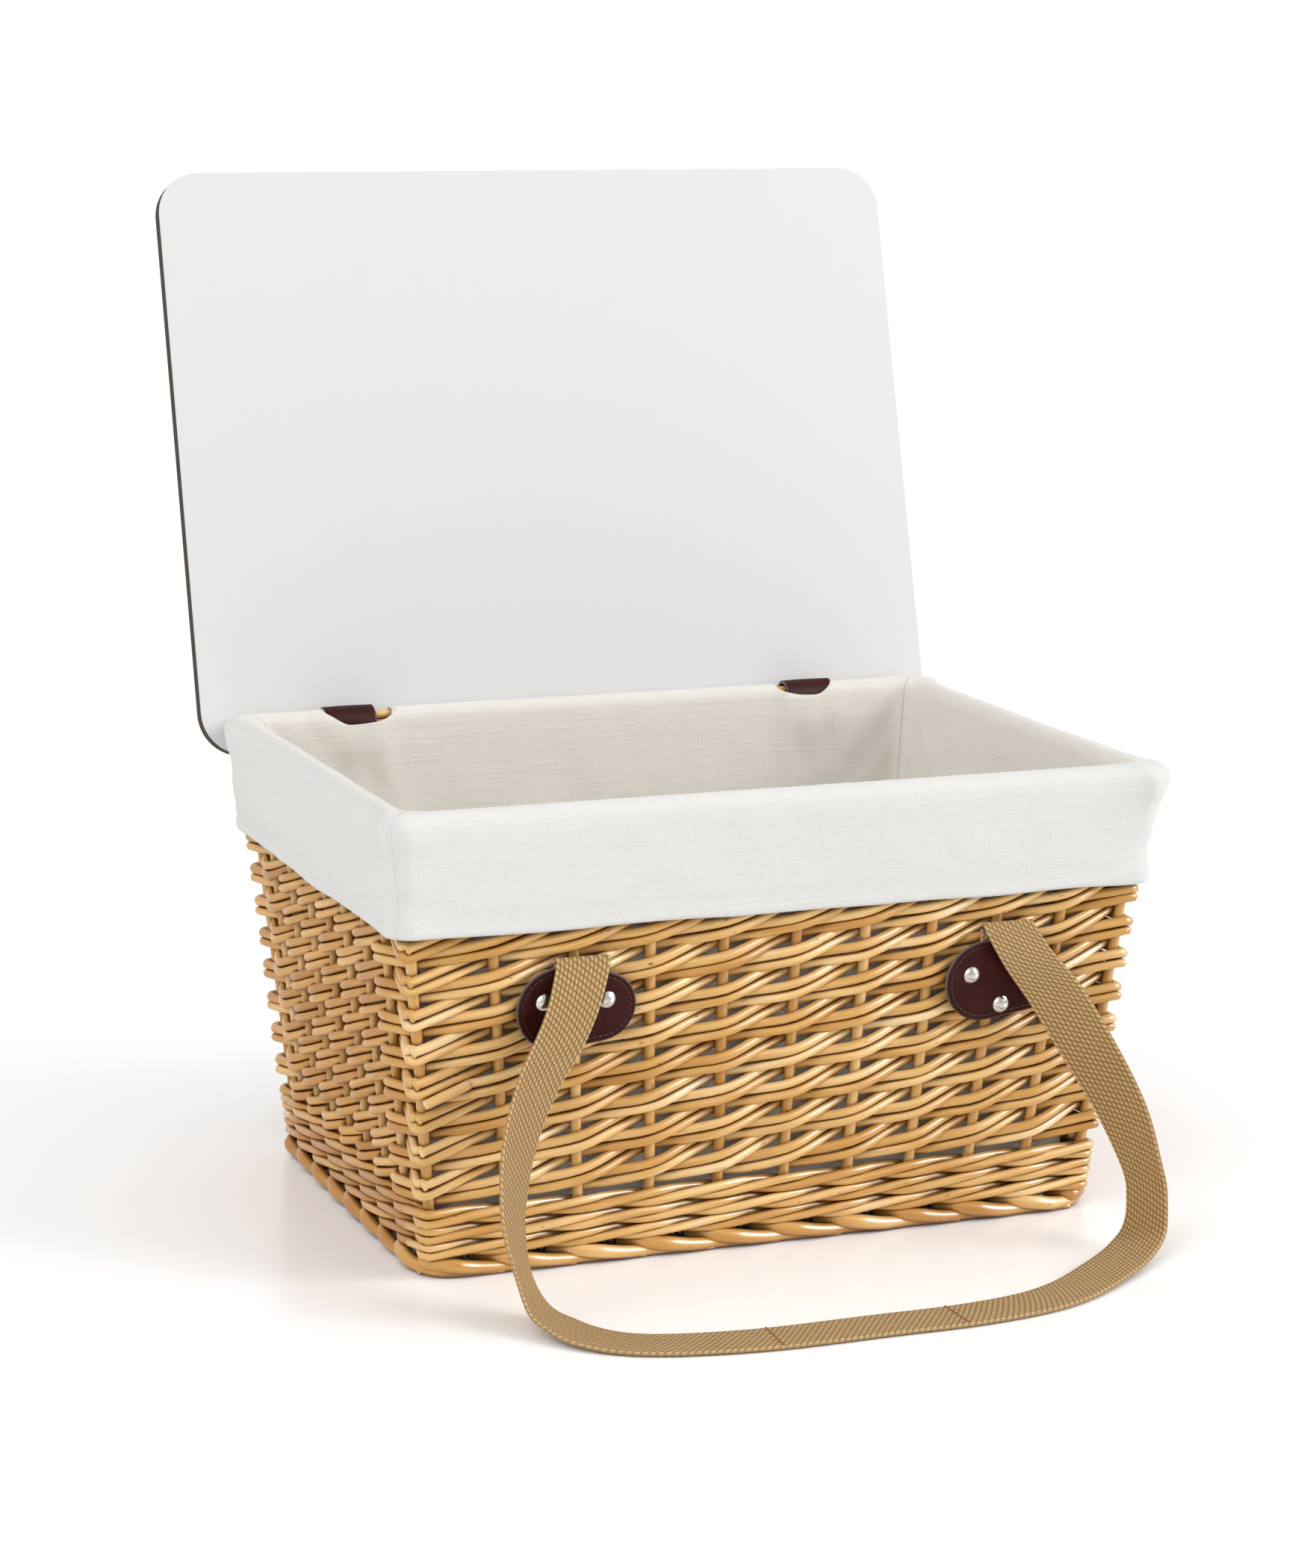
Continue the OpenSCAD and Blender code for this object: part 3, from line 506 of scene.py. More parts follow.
def wobble(path, amount, wave, seed):
    """Moves a path a little, as no rod is straight."""
    out = path.copy()
    for i, p in enumerate(path):
        q = Vector(p.tolist()) * (1 / wave)
        out[i] += [amount * noise.noise(q + Vector(o)) for o in ((seed, 0, 0), (0, seed, 9), (5, 3, seed))]
    return out


def pair(piece, stations, mean):
    """Two rods side by side through the stations."""
    mid = spline([p for p, n in stations], 7)
    up = np.cross(tangents(mid), spline([n for p, n in stations], 7))
    up /= np.linalg.norm(up, axis=1)[:, None]
    up *= np.sign(up[:, 2:3])
    spread = 0.97 + 0.08 * rng.random()
    for side in (-1, 1):
        r = 0.5 * ROD_D * rng.uniform(0.92, 1.04)
        path = mid + side * up * 0.5 * ROD_D * spread
        path = wobble(path, 0.7, 26.0, rng.uniform(0, 90))
        taper = np.linspace(rng.uniform(0.97, 1.05), rng.uniform(0.93, 1.0), len(path))
        piece.add(path, r * taper, **skin(mean))


def wall_strands(wall):
    """Each strand passes in front of one stake and behind the next, and climbs a level in two stakes."""
    long = wall % 2 == 0
    last, at = (LAST_K, front_at) if long else (LAST_J, right_at)
    off, reach = off_of(WEAVER_D), reach_of(WEAVER_D)
    found = []
    for odd in (0, 1):
        for start in range(-11, LEVELS + 1):
            st = []
            for k in range(1 - odd, last + odd):
                m = k + odd
                climbed = m / 2 if m % 2 == 0 else (m - 1) / 2 + SLANT
                loss = 0 if long or k == 0 else (-1 if k == last else -0.5)
                t = start + climbed + loss
                if not -0.55 < t < LEVELS - 0.2:
                    continue
                z = max(level_z(t), WEAVE_LOW)
                if k in (0, last):
                    st.append(inside_corner(wall % 2 + (k > 0), reach, z))
                    continue
                side = -off if m % 2 else off
                if not st and side > 0 and k > 1 - odd:
                    # the cut ends of the lowest row go inward between two stakes
                    st.append(at(k - 0.5, -0.5 * off, z))
                st.append(at(k, side, z))
            if len(st) > 1:
                found.append(half_turn(st, wall >= 2))
    return found


def corner_strands(c):
    """The short strands that loop round a corner stake."""
    off, reach = off_of(WEAVER_D), reach_of(WEAVER_D)
    found = []
    for t in range(LEVELS):
        end_z = level_z(t + SLANT - 0.5)
        if c % 2 == 0:
            ends = left_at(1, -off, end_z), front_at(1, -off, level_z(t + SLANT))
        else:
            ends = front_at(LAST_K - 1, -off, level_z(t + SLANT - 1)), right_at(1, -off, end_z)
        found.append(half_turn([ends[0]] + round_corner(c % 2, reach, level_z(t)) + [ends[1]], c >= 2))
    return found


def wale_height(turn, phase):
    step = WALE_D + GAP
    return WALE_Z + WALE_D / 2 + turn * 2 * step + (0, step, step / 2)[phase]


def wale_stations(wall, turn, s):
    """One of three rods, each in front of two stakes and behind the third, through one wall."""
    long = wall % 2 == 0
    off, reach = off_of(WALE_D), reach_of(WALE_D)
    i, last, at = (0, LAST_K, front_at) if long else (FIRST[1], LAST_J - 1, right_at)

    def between(phase):
        return (off, wale_height(turn, 2)) if phase == 0 else (0, wale_height(turn, 1 if phase == 1 else 0))

    before = between((i + (-1 if long else 0) - s + ALL) % 3)
    after = between((i + last - s + ALL) % 3)
    st = [(left_at if long else right_at)(0.5, *before)]
    for k in range(0 if long else 1, last + 1):
        phase = (i + k - s + ALL) % 3
        z = wale_height(turn, phase)
        if not long or 0 < k < LAST_K:
            st.append(at(k, -off if phase == 2 else off, z))
        else:
            st += [inside_corner(k > 0, reach, z)] if phase == 2 else round_corner(k > 0, reach, z)
        if phase and k != last:
            st.append(at(k + 0.5, *between(phase)))
    st.append(right_at(0.5 if long else LAST_J - 0.5, *after))
    return half_turn(st, wall >= 2)


def stake_wall(i): return sum(i >= first for first in FIRST[1:])


def stake_xy(i, z):
    w = stake_wall(i)
    k = i - FIRST[w]
    if k == 0:
        return corner_xy(w, z)
    x, y = (half_x(z), side_y(k, z)) if w % 2 else (front_x(k, z), -half_y(z))
    return np.array([x, y]) * (1 if w < 2 else -1)


def along_wall(s, off, z):
    """A point s stakes round the basket, off beyond the wall."""
    i, f = math.floor(s + ALL) % ALL, s - math.floor(s)
    p = stake_xy(i, z) * (1 - f) + stake_xy((i + 1) % ALL, z) * f
    return np.array([*(p + off * np.array(OUT[stake_wall(i)])), z])


def stake(piece, i):
    zs = np.linspace(2.1 * FOOT_D, BORDER_Z - BORDER_D - 0.8, 25)
    path = wobble(np.array([[*stake_xy(i, z), z] for z in zs]), 0.7, 45.0, rng.uniform(0, 90))
    piece.add(path, UPRIGHT_D / 2 * rng.uniform(0.94, 1.04), sides=10, **skin(0.5))


def build_wall(wall, name, mean):
    piece = Rods(name + "_weave_rods")
    for st in wall_strands(wall):
        pair(piece, st, mean)
    piece.make(name + "_weave")
    piece = Rods(name + "_wale_rods")
    for turn in range(ROUNDS):
        for s in range(3):
            path = spline([p for p, n in wale_stations(wall, turn, s)], 5)
            path = wobble(path, 0.6, 30.0, rng.uniform(0, 90))
            piece.add(path, WALE_ROD_D / 2 * rng.uniform(0.95, 1.06), **skin(mean + WALE_TINT))
    piece.make(name + "_wale")
    piece = Rods(name + "_foot_rods")
    first, count = FIRST[wall], LAST_K if wall % 2 == 0 else LAST_J
    share = np.interp(np.linspace(0, 5, 41), range(6), [q[3] for q in FOOT_ROUTE])
    for i in range(first, first + count):
        pts = [along_wall(i + q[0], q[1] * FOOT_D, q[2] * FOOT_D) for q in FOOT_ROUTE]
        piece.add(spline(pts, 8, 0.5), 0.5 * FOOT_ROD_D * share * rng.uniform(0.93, 1.05), sides=10,
                  **skin(mean + FOOT_TINT))
    piece.make(name + "_foot_border")
    piece = Rods(name + "_stake_rods")
    for i in range(first + 1, first + count):
        stake(piece, i)
    piece.make(name + "_stakes")


def build_corner(c, name, mean):
    piece = Rods(name + "_corner_rods")
    for st in corner_strands(c):
        pair(piece, st, mean)
    if c == 0:
        # the cut end of a rod, left in front of the corner stake
        stub = spline([(-172, -139.5, 106), (-184, -142, 102.5), (-196, -143, 98.5)], 6)
        piece.add(stub, 2.7, sides=10, tint=0.8)
    piece.make(name + "_corner_weave")


def build_base():
    bx, by = half_x(BASE_Z) - 8, half_y(BASE_Z) - 8
    step_x, step_y = 2 * bx / BASE_WAVES, 2 * by / BASE_STICKS
    piece = Rods("base_stick_rods")
    for j in range(BASE_STICKS):
        y = (j - 2) * step_y
        path = wobble(np.array([[x, y, BASE_Z] for x in np.linspace(-bx, bx, 40)]), 0.5, 40, j)
        piece.add(path, 2.0, tint=tone(0.5))
    piece.make("base_sticks")
    piece = Rods("base_weave_rods")
    for i in range(BASE_WAVES):
        for q in range(BASE_RODS):
            x = -bx + (i + (q + 0.5) / BASE_RODS) * step_x
            pts = []
            for j in range(-1, BASE_STICKS + 1):
                held = 0 <= j < BASE_STICKS
                y = (j - 2) * step_y if held else math.copysign(by, j)
                pts.append([x, y, BASE_Z + ((2.9 if (i + j) % 2 == 0 else -2.9) if held else 0)])
            piece.add(spline(pts, 5), 1.15 * rng.uniform(0.92, 1.04), sides=6, **skin(0.5))
    piece.make("base_weave")


def build_border():
    """Three rods side by side, each once round the rim."""
    ring, piece = (BORDER_D / 2 + GAP / 2) / math.cos(math.radians(30)), Rods("top_border_rods")
    for a in (90, 210, 330):
        out, rise = (ring * v for v in polar(a))
        lx, ly, r = half_x(BORDER_Z) + out, half_y(BORDER_Z) + out, 7 + out
        centres = [(sx * (lx - r), sy * (ly - r)) for sx, sy in SIGNS]
        pts = []
        for c in range(4):
            (cx, cy), (nx, ny) = centres[c], centres[(c + 1) % 4]
            for s in range(7):
                x, y = polar(180 + 90 * c + 15 * s)
                pts.append([cx + r * x, cy + r * y, BORDER_Z + rise])
            for s in range(1, 20):
                f = s / 20
                pts.append([cx + (nx - cx) * f + r * x, cy + (ny - cy) * f + r * y, BORDER_Z + rise])
        pts.append(pts[0])
        piece.add(wobble(np.array(pts), 0.4, 60, a), BORDER_D / 2, sides=10, tint=tone(0.62))
    piece.make("top_border")


# each wall's tint carries painted shade
for wall in range(4):
    build_wall(wall, WALLS[wall], WALL_TONE_AND_SHADE[wall])
    build_corner(wall, CORNERS[wall], WALL_TONE_AND_SHADE[wall] + CORNER_TINT)
corner_stakes = Rods("corner_stake_rods")
for i in FIRST:
    stake(corner_stakes, i)
corner_stakes.make("corner_stakes")
build_base()
build_border()

# --- cloth liner
RIM_R, RIM_CORNER = 7.3, 12.0  # the roll over the border, and the corners seen from above
INSIDE, CUFF_GAP, CUFF_OUT = 8.05, 0.55, 9.85  # from the wall's middle to the cloth, inside and outside
FLOOR_Z, FLOOR_BEND, CUFF_Z, HEM_Z = 12.95, 5, 240, 187.9
FLOOR_ROWS, INSIDE_ROWS = 7, 38
RIM_ROW = FLOOR_ROWS + INSIDE_ROWS
TOP_ROW = RIM_ROW + 4  # the last row that counts as inside
CLOTH_T = 0.0011


def liner_rows():
    """The cloth's middle surface from floor to hem: outward distance, height and corner radius."""
    low = 13 * TAN - INSIDE
    rows = [(low - d, FLOOR_Z, 10.0) for d in (60, 30, 12)]
    for a in (0, 30, 60, 90):
        c, s = polar(a)
        rows.append((low - FLOOR_BEND + FLOOR_BEND * s, FLOOR_Z + FLOOR_BEND * (1 - c), 10.0))
    rows += [(z * TAN - INSIDE, z, 9.0 + 3 * (z / 235)) for z in np.linspace(26, 235, INSIDE_ROWS)]
    for a in range(180, -1, -18):
        c, s = polar(a)
        rows.append((BORDER_Z * TAN + RIM_R * c, BORDER_Z + RIM_R * s, RIM_CORNER))
    for z in np.linspace(CUFF_Z, HEM_Z + 1.5, 15):
        f = (CUFF_Z - z) / (CUFF_Z - HEM_Z)
        top = RIM_R + CUFF_GAP
        rows.append((z * TAN + top + (CUFF_OUT - top) * f, z, RIM_CORNER))
    q = HEM_Z * TAN + CUFF_OUT
    return rows + [(q - 0.2, HEM_Z + 0.3, 12.0), (q - 1.0, HEM_Z, 11.5), (q - 1.8, HEM_Z + 0.6, 11.0),
                   (q - 2.0, HEM_Z + 9, 11.0)]


def liner_columns():
    """Round the mouth: (wall, place) with place from -1 to 1 along a wall, or (corner + 4, angle)."""
    cols = []
    for c in range(4):
        cols += [(4 + c, 180 + 90 * c + a) for a in (7, 18, 28, 37, 45, 53, 62, 72, 83)]
        cols += [(c, f) for f in np.linspace(-1, 1, 72 if c % 2 == 0 else 46)]
    return cols


def is_seam(col): return col[0] >= 4 and abs(col[1] % 90 - 45) < 1


def liner_point(col, q, r):
    """Where a column is at the outward distance q with corner radius r, and the way out there."""
    a, b = HALF_X + q, HALF_Y + q
    kind, f = col
    if kind >= 4:
        c, (nx, ny) = kind - 4, polar(f)
        return SIGNS[c][0] * (a - r) + r * nx, SIGNS[c][1] * (b - r) + r * ny, nx, ny
    s = 1 if kind < 2 else -1
    return (s * f * (a - r), -s * b, 0.0, -s) if kind % 2 == 0 else (s * a, s * f * (b - r), s, 0.0)


def soft(x, y, z, k, seed): return noise.noise(Vector((x / k + seed, y / k, z / k)))


def liner_shift(i, q, x, y, z, nx, ny):
    """How far the folds and creases move a point of row i outward and up."""
    outside, on_rim = i > TOP_ROW, abs(z - BORDER_Z) < RIM_R + 1
    away = max(0.0 if nx else abs(abs(x) - (HALF_X + q)), 0.0 if ny else abs(abs(y) - (HALF_Y + q)))
    corner, d, up = bell(away, 0, 22.0), 0.0, 0.0
    if outside:
        low = (BORDER_Z - z) / (BORDER_Z - HEM_Z)
        d += 1.3 * soft(x, y, z, 70, 1) + 0.5 * soft(x, y, z, 24, 2)
        d += (6.8 if x > 0 else 3.4) * corner * bell(z, 247, 15)  # the corners stand out at the rim
        d += 1.5 * corner * bell(z, HEM_Z + 5, 9) - 1.6 * corner * bell(z, HEM_Z + 17, 8)
        d -= 0.8 * bell(z, HEM_Z + 9, 2.2)  # the stitched line of the hem
        if nx < -0.5 and y > 60:
            d += 1.6 * math.sin((z - 196) / 9.0) * bell(z, 205, 20)
        up = 1.6 * soft(x, y, 0, 60, 3) * max(0, low - 0.6) / 0.4
    elif i < FLOOR_ROWS:
        up = 1.2 * (soft(x, y, 0, 50, 4) + 1) * (1 if i < 3 else 0.3)
    else:
        fold = soft(x, y, z * 0.18, 26, 6)
        d -= bell(z, 130, 95) * (2.2 + 4.6 * fold) * (0.45 + 0.55 * bell(away, 0, 80.0))
        d -= 1.2 * corner * soft(x, y, z * 0.3, 9, 7)
        d += 0.5 * soft(x, y, z, 40, 8)
        d += bell(z, 236, 22) * 0.9 * bell(away, 0, 60.0) * soft(x + z, y - z, z, 15, 9)
        slanting = math.sin((away + 0.9 * z) / 5.5) * (1 if x < 0 else 0.5)
        d += 1.3 * bell(z, 205, 34) * bell(away, 30, 26) * slanting
    if on_rim and not outside:
        up += 0.5 * corner
        d += 1.5 * corner * (i - RIM_ROW) / (TOP_ROW - RIM_ROW)
    if ny > 0.5:
        # the cloth bulges over the hinge loops and is puckered under the notches
        over = sum(smooth_box(x, a, LOOP_W / 2 + 1.0, 9.0) for a in LOOP_X)
        if not outside:
            pucker = sum(bell(x, a, 30) * math.sin((x - a) / 3.4 + 0.05 * z) for a in LOOP_X)
            d += 1.5 * bell(z, 218, 15) * pucker
        if on_rim:
            ca, sa = (q - BORDER_Z * TAN) / RIM_R, (z - BORDER_Z) / RIM_R
            push = over * (4.0 if ca < 0 else 1.0) * (1 - 0.62 * max(0.0, sa) ** 2)
            d, up = d + push * ca, up + push * sa
        elif not outside:
            d -= 4.0 * over * bell(z, 238, 16)
    return d, up


def build_liner():
    rows, cols = liner_rows(), liner_columns()
    # lengths along the rim and down the cloth, for its own coordinates
    ring = np.array([liner_point(c, BORDER_Z * TAN, RIM_CORNER)[:2] for c in cols])
    u, v = length_along(ring), length_along(np.array([r[:2] for r in rows]))
    seams = [MM * u[j] for j, col in enumerate(cols) if is_seam(col)]
    cloth = canvas("cotton_canvas", (0.655, 0.662, 0.650), (0.700, 0.672, 0.625), seams, MM * (v[-4] - 6.0))
    verts, uvs = [], []
    for i, (q, z, r) in enumerate(rows):
        for j, col in enumerate(cols):
            x, y, nx, ny = liner_point(col, q, r)
            d, up = liner_shift(i, q, x, y, z, nx, ny)
            if is_seam(col) and i >= FLOOR_ROWS:
                d -= 0.7
            n = math.hypot(nx, ny)
            verts.append([x + d * nx / n, y + d * ny / n, z + up])
            uvs.append((u[j] * MM, v[i] * MM))
    mesh = smooth_mesh("liner_cloth", verts, ring_faces(len(rows), len(cols))[:-1])
    uv_layer(mesh, uvs, MM * (u[-1] + math.dist(ring[-1], ring[0])))
    o = place(mesh, cloth, "basket", "liner_bottom", "liner_front", "liner_rear", "liner_left", "liner_right")
    sheet = o.modifiers.new("thickness", "SOLIDIFY")
    sheet.thickness, sheet.offset = CLOTH_T, 0
    apply(o)
    face_outward(o.data)
    for side in (-1, 1):
        cut_notch(o, side)
    points = np.zeros(3 * len(o.data.vertices), np.float32)
    o.data.vertices.foreach_get("co", points)
    x, y, z = 1000 * points.reshape(-1, 3).T
    out = np.maximum(abs(x) - HALF_X, abs(y) - HALF_Y) - np.minimum(z, BORDER_Z) * TAN
    point_data(o.data, "inner", np.clip(0.5 - out / 4.0, 0, 1))


def face_outward(mesh):
    bm = bmesh.new()
    bm.from_mesh(mesh)
    bmesh.ops.recalc_face_normals(bm, faces=bm.faces)
    bm.to_mesh(mesh)
    bm.free()


def apply(o):
    """Applies the modifiers."""
    deps = bpy.context.evaluated_depsgraph_get()
    mesh = bpy.data.meshes.new_from_object(o.evaluated_get(deps))
    o.modifiers.clear()
    old, o.data = o.data, mesh
    mesh.name = old.name
    mesh.shade_smooth()


def prism(outline, y0, y1):
    """A closed block with this outline in x and z, from y0 to y1."""
    faces = ring_faces(2, len(outline))
    mesh = smooth_mesh("cutter", [(x, y, z) for y in (y0, y1) for x, z in outline], faces[-2:] + faces[:-2])
    face_outward(mesh)
    return add_object(mesh)


def cut_notch(o, side):
    """Cuts the crescent through which a hinge loop is seen, and the deeper slot behind it."""
    x = LOOP_X[side > 0]
    # the end under the loop, and the end that is free; the top, and the crescent's lowest line
    shut, free = x + side * (LOOP_W / 2 + 1.5), x - side * (25.0 if side < 0 else 22.0)
    top, low, slot = BORDER_Z + 20, BORDER_Z + (0.3 if side < 0 else 2.0), BORDER_Z - 17
    inner = [(shut, top), (shut, low + 8.5), (shut - side * 4.5, low + 5.0), (shut - side * 10, low + 1.6),
             (x + side * 2, low), (x - side * 8, low + 0.4), (free + side * 8, low + 1.5),
             (free + side * 2.5, low + 3.2), (free, low + 6.0), (free - side * 0.5, top)]
    outer = [(shut, top), (shut, slot), (shut - side * 3, slot - 5.5), (free + side * 4, slot - 5.5),
             (free, slot), (free, top)]
    y = LID_AXIS_Y
    blocks = []
    for outline, y0, y1 in ((inner, y - 30, y + 3), (outer, y, y + 40)):
        line = spline([(a, b, 0) for a, b in outline], 4, 0.4)[:, :2]
        blocks.append(prism([tuple(q) for q in line], y0, y1))
    for target, tool, operation in ((blocks[0], blocks[1], "UNION"), (o, blocks[0], "DIFFERENCE")):
        m = target.modifiers.new("notch", "BOOLEAN")
        m.operation, m.object, m.solver = operation, tool, "EXACT"
        apply(target)
    for block in blocks:
        bpy.data.objects.remove(block)


build_liner()

# --- webbing handles, made at the front wall
FOLD_X, FOLD_Z = (-114.0, 129.0), 170.6
TAB_OUT = off_of(WEAVER_D) + WEAVER_D / 2 + 0.3
PATCH_OUT, LEATHER_T = TAB_OUT + 2.2, 2.2
FOLD_Y = -(half_y(FOLD_Z) + (TAB_OUT + PATCH_OUT + LEATHER_T + 2.3) / 2)
FOLD_R, TAB_LENGTH = 1.08, 45
STITCH_X, STITCHES = (-55.0, 42.0), 10
HALF_W, HALF_T, EDGE = 15.0, 1.0, 15.1
HALF_RIBBON = [(-HALF_W, 0), (-HALF_W + 0.35, 0.7 * HALF_T)]
HALF_RIBBON += [(x, HALF_T) for x in (-HALF_W + 1.2, -11, -7, -3, 0, 3, 7, 11, HALF_W - 1.2)]
HALF_RIBBON += [(HALF_W - 0.35, 0.7 * HALF_T)]
RIBBON = HALF_RIBBON + [(-x, -z) for x, z in HALF_RIBBON]
REST = 1.3  # the height of the webbing's middle on the floor
# The route from fold to fold: x, y, z, and the turn about the upright
FRONT_LIE = (
    (FOLD_X[0], FOLD_Y - 2, FOLD_Z - 1, 0), (-121, -160.5, 150, 6), (-130, -164, 132, 13),
    (-145, -170, 110, 25), (-158, -179, 82, 37), (-165, -190, 54, 48), (-166, -198, 36, 56),
    (-164, -207, 20, 64), (-160, -220, 9, 66), (-153, -236, 4, 66), (-143, -252, 2, 68), (-126, -265, REST, 76),
    (-100, -274, REST, 84), (-58, -280, REST, 89), (0, -280, REST, 91), (50, -280, REST, 92),
    (90, -274, REST, 98), (118, -262, REST, 104), (145, -244, 2.5, 106), (168, -227, 5, 104),
    (184, -213, 12, 102), (191, -203, 27, 104), (191, -195, 44, 110), (183, -183, 74, 131),
    (164, -169, 113, 150), (152, -163.5, 134, 163), (138, -160, 153, 173),
    (FOLD_X[1], FOLD_Y - 2, FOLD_Z - 1, 180))
REAR_SHIFT = 25.0
REAR_LIE = [(x + REAR_SHIFT * (FOLD_Z - z) / FOLD_Z, y, z, a) for x, y, z, a in FRONT_LIE]


def ribbon_rings(lie):
    """The points of the webbing's middle, each with the ways across and along."""
    per = 6
    pts = spline([q[:3] for q in lie], per, 0.5)
    turn = spline([[q[3], 0, 0] for q in lie], per, 0.5)[:, 0]
    n, t = len(pts), tangents(pts)
    rings = []
    for i in range(n):
        flat = np.array([*polar(turn[i]), 0])
        square_on = min(1.0, min(i, n - 1 - i) / (4.0 * per))
        rings.append((pts[i], unit(flat - square_on * (flat @ t[i]) * t[i]), t[i]))
    return rings


def build_handle(body, lie, flip):
    name, rings = body + "_strap", ribbon_rings(lie)
    # the fold over the patch at each end
    for end, way in ((0, -1), (-1, 1)):
        x, w = rings[end][0][0], rings[end][1]
        arc = []
        for a in (20, 55, 90, 125, 160, 185):
            c, s = polar(a)
            p = np.array([x, FOLD_Y - FOLD_R * c, FOLD_Z + FOLD_R * s])
            arc.append((p, w, np.array([0, s, c]) * way))
        rings = rings[:-1] + arc if end else arc[::-1] + rings[1:]
    verts, uvs = [], []
    for (p, w, t), v in zip(rings, length_along([ring[0] for ring in rings])):
        n = unit(np.cross(t, w))
        verts += [p + a * w + b * n for a, b in RIBBON]
        uvs += [((a + EDGE) * MM, v * MM) for a, b in RIBBON]
    mesh = smooth_mesh(name, verts, ring_faces(len(rings), len(RIBBON)), flip)
    uv_layer(mesh, uvs)
    place(mesh, WEBBING, body, body + "_webbing")
    # two rows of stitches across the run on the floor
    threads = Rods(name + "_stitches")
    for x in STITCH_X:
        wanted = x + (REAR_SHIFT if flip else 0)
        p, w, t = min((ring for ring in rings if ring[0][2] <= 5), key=lambda ring: abs(ring[0][0] - wanted))
        n = unit(np.cross(t, w))
        n *= 1 if n[2] > 0 else -1
        for k in range(STITCHES):
            path = [p + (-14 + k * 2.9 + 2.3 * f) * w + h * n + g * t
                    for f, h, g in ((0, 0.7, 0), (0.25, 1.15, 0.1), (0.75, 1.15, -0.1), (1, 0.7, 0))]
            threads.add(spline(path, 3), 0.38, sides=6)
    threads.make(material=THREAD, body=body, flip=flip)


def wall_frame(x, z, turn=0.0):
    """A point of the front wall, with the ways along it, up it and out of it, turned in its plane."""
    (lean, rise), (c, s) = polar(90 + WALL_LEAN), polar(turn)
    ex, up, out = (np.array(v) for v in ((1.0, 0, 0), (0, lean, rise), (0, -rise, lean)))
    return np.array([x, -half_y(z), z]), c * ex + s * up, -s * ex + c * up, out


def build_webbing_ends(side, flip):
    """The webbing between the wall and the patch, up to the fold, with its cut edge at the bottom."""
    verts, uvs, faces = [], [], []
    ys = np.linspace(-TAB_LENGTH, -1.5, 12)
    for x in FOLD_X:
        o, ex, up, out = wall_frame(x, FOLD_Z)
        faces += ring_faces(len(ys), len(RIBBON), len(verts))
        for y in ys:
            for a, b in RIBBON:
                ragged = 0.6 * math.sin(a * 5.1) if y == ys[0] else 0
                verts.append(o + a * ex + (y + ragged) * up + (TAB_OUT + 1.0 + b * 0.95) * out)
                uvs.append(((a + EDGE) * MM, y * MM))
    mesh = smooth_mesh(side + "_strap_ends", verts, faces, flip)
    uv_layer(mesh, uvs)
    place(mesh, WEBBING, "basket", side + "_webbing_ends")


# --- leather patches
PATCHES = ((-116.5, 146.0, -1.5), (127.0, 141.0, 0.0))  # place along the wall, height, and turn
RIVETS = ((-18, 4), (16.5, 3.5), (0.5, -14))
BIG_R, SMALL_R, PATCH_LENGTH, SEAM_INSET = 22.5, 19.0, 65.6, 3.0
# From the wall up the edge and over the face: distance in from the outline, height, share of the edge's paint
PATCH_STEPS = ((0.5, 0.05, 1), (0.1, 0.35, 1), (0.0, 1.0, 1), (0.1, 1.6, 0.8), (0.45, 2.05, 0.2),
               (1.1, 2.25, 0), (2.3, 2.3, 0), (2.7, 2.2, 0), (SEAM_INSET, 2.0, 0), (3.3, 2.2, 0), (3.8, 2.35, 0),
               (6.0, 2.6, 0), (9.0, 2.9, 0), (12.0, 3.1, 0), (15.0, 3.2, 0), (17.6, 3.25, 0))


def patch_outline(inset, n):
    """The egg-shaped outline of a patch, drawn in by inset: the big end, a side, the small end, a side."""
    cb, cs = BIG_R - PATCH_LENGTH / 2, PATCH_LENGTH / 2 - SMALL_R
    a = math.acos((BIG_R - SMALL_R) / (cs - cb))

    def big(d, r=BIG_R - inset): return np.array([cb + r * math.cos(d), r * math.sin(d)])
    def small(d, r=SMALL_R - inset): return np.array([cs + r * math.cos(d), r * math.sin(d)])

    pts = []
    for i in range(n):
        t = i / n * 4
        k, f = int(t), t - int(t)
        pts.append((big(a + (2 * math.pi - 2 * a) * f), big(-a) + (small(-a) - big(-a)) * f,
                    small(-a + 2 * a * f), small(a) + (big(a) - small(a)) * f)[k])
    return pts


def build_patch(name, i, flip):
    o, ex, ey, out = wall_frame(*PATCHES[i])
    verts, edge, n = [], [], 96
    for inset, h, e in PATCH_STEPS:
        for x, y in patch_outline(inset, n):
            bulge = 0.0
            if inset > 3.5:
                # the face is held down by the rivets and wavy between them
                for rx, ry in RIVETS:
                    bulge -= (h - 2.15) * bell(math.hypot(x - rx, y - ry), 0, 7.5)
                bulge += 0.25 * noise.noise(Vector((x / 9, y / 9, i)))
            verts.append(o + x * ex + y * ey + (PATCH_OUT + h + bulge) * out)
            edge.append(e)
    mesh = smooth_mesh(name + "_leather", verts, ring_faces(len(PATCH_STEPS), n), flip)
    point_data(mesh, "edge", edge)
    place(mesh, LEATHER, "basket", name + "_patch")
    threads = Rods(mesh.name + "_stitches")
    line = np.array([o + x * ex + y * ey for x, y in patch_outline(SEAM_INSET, 400)])
    line = np.vstack([line, line[:1]])
    length, count = length_along(line), 50
    for k in range(count):
        path = []
        for f, h in ((0.0, 1.85), (0.2, 2.3), (0.5, 2.4), (0.8, 2.3), (1.0, 1.85)):
            at = ((k + 0.12 + 0.72 * f) / count * length[-1]) % length[-1]
            path.append([np.interp(at, length, line[:, c]) for c in range(3)] + (PATCH_OUT + h) * out)
        threads.add(spline(path, 2), 0.32, sides=6)
    threads.make(material=DARK_THREAD, flip=flip)


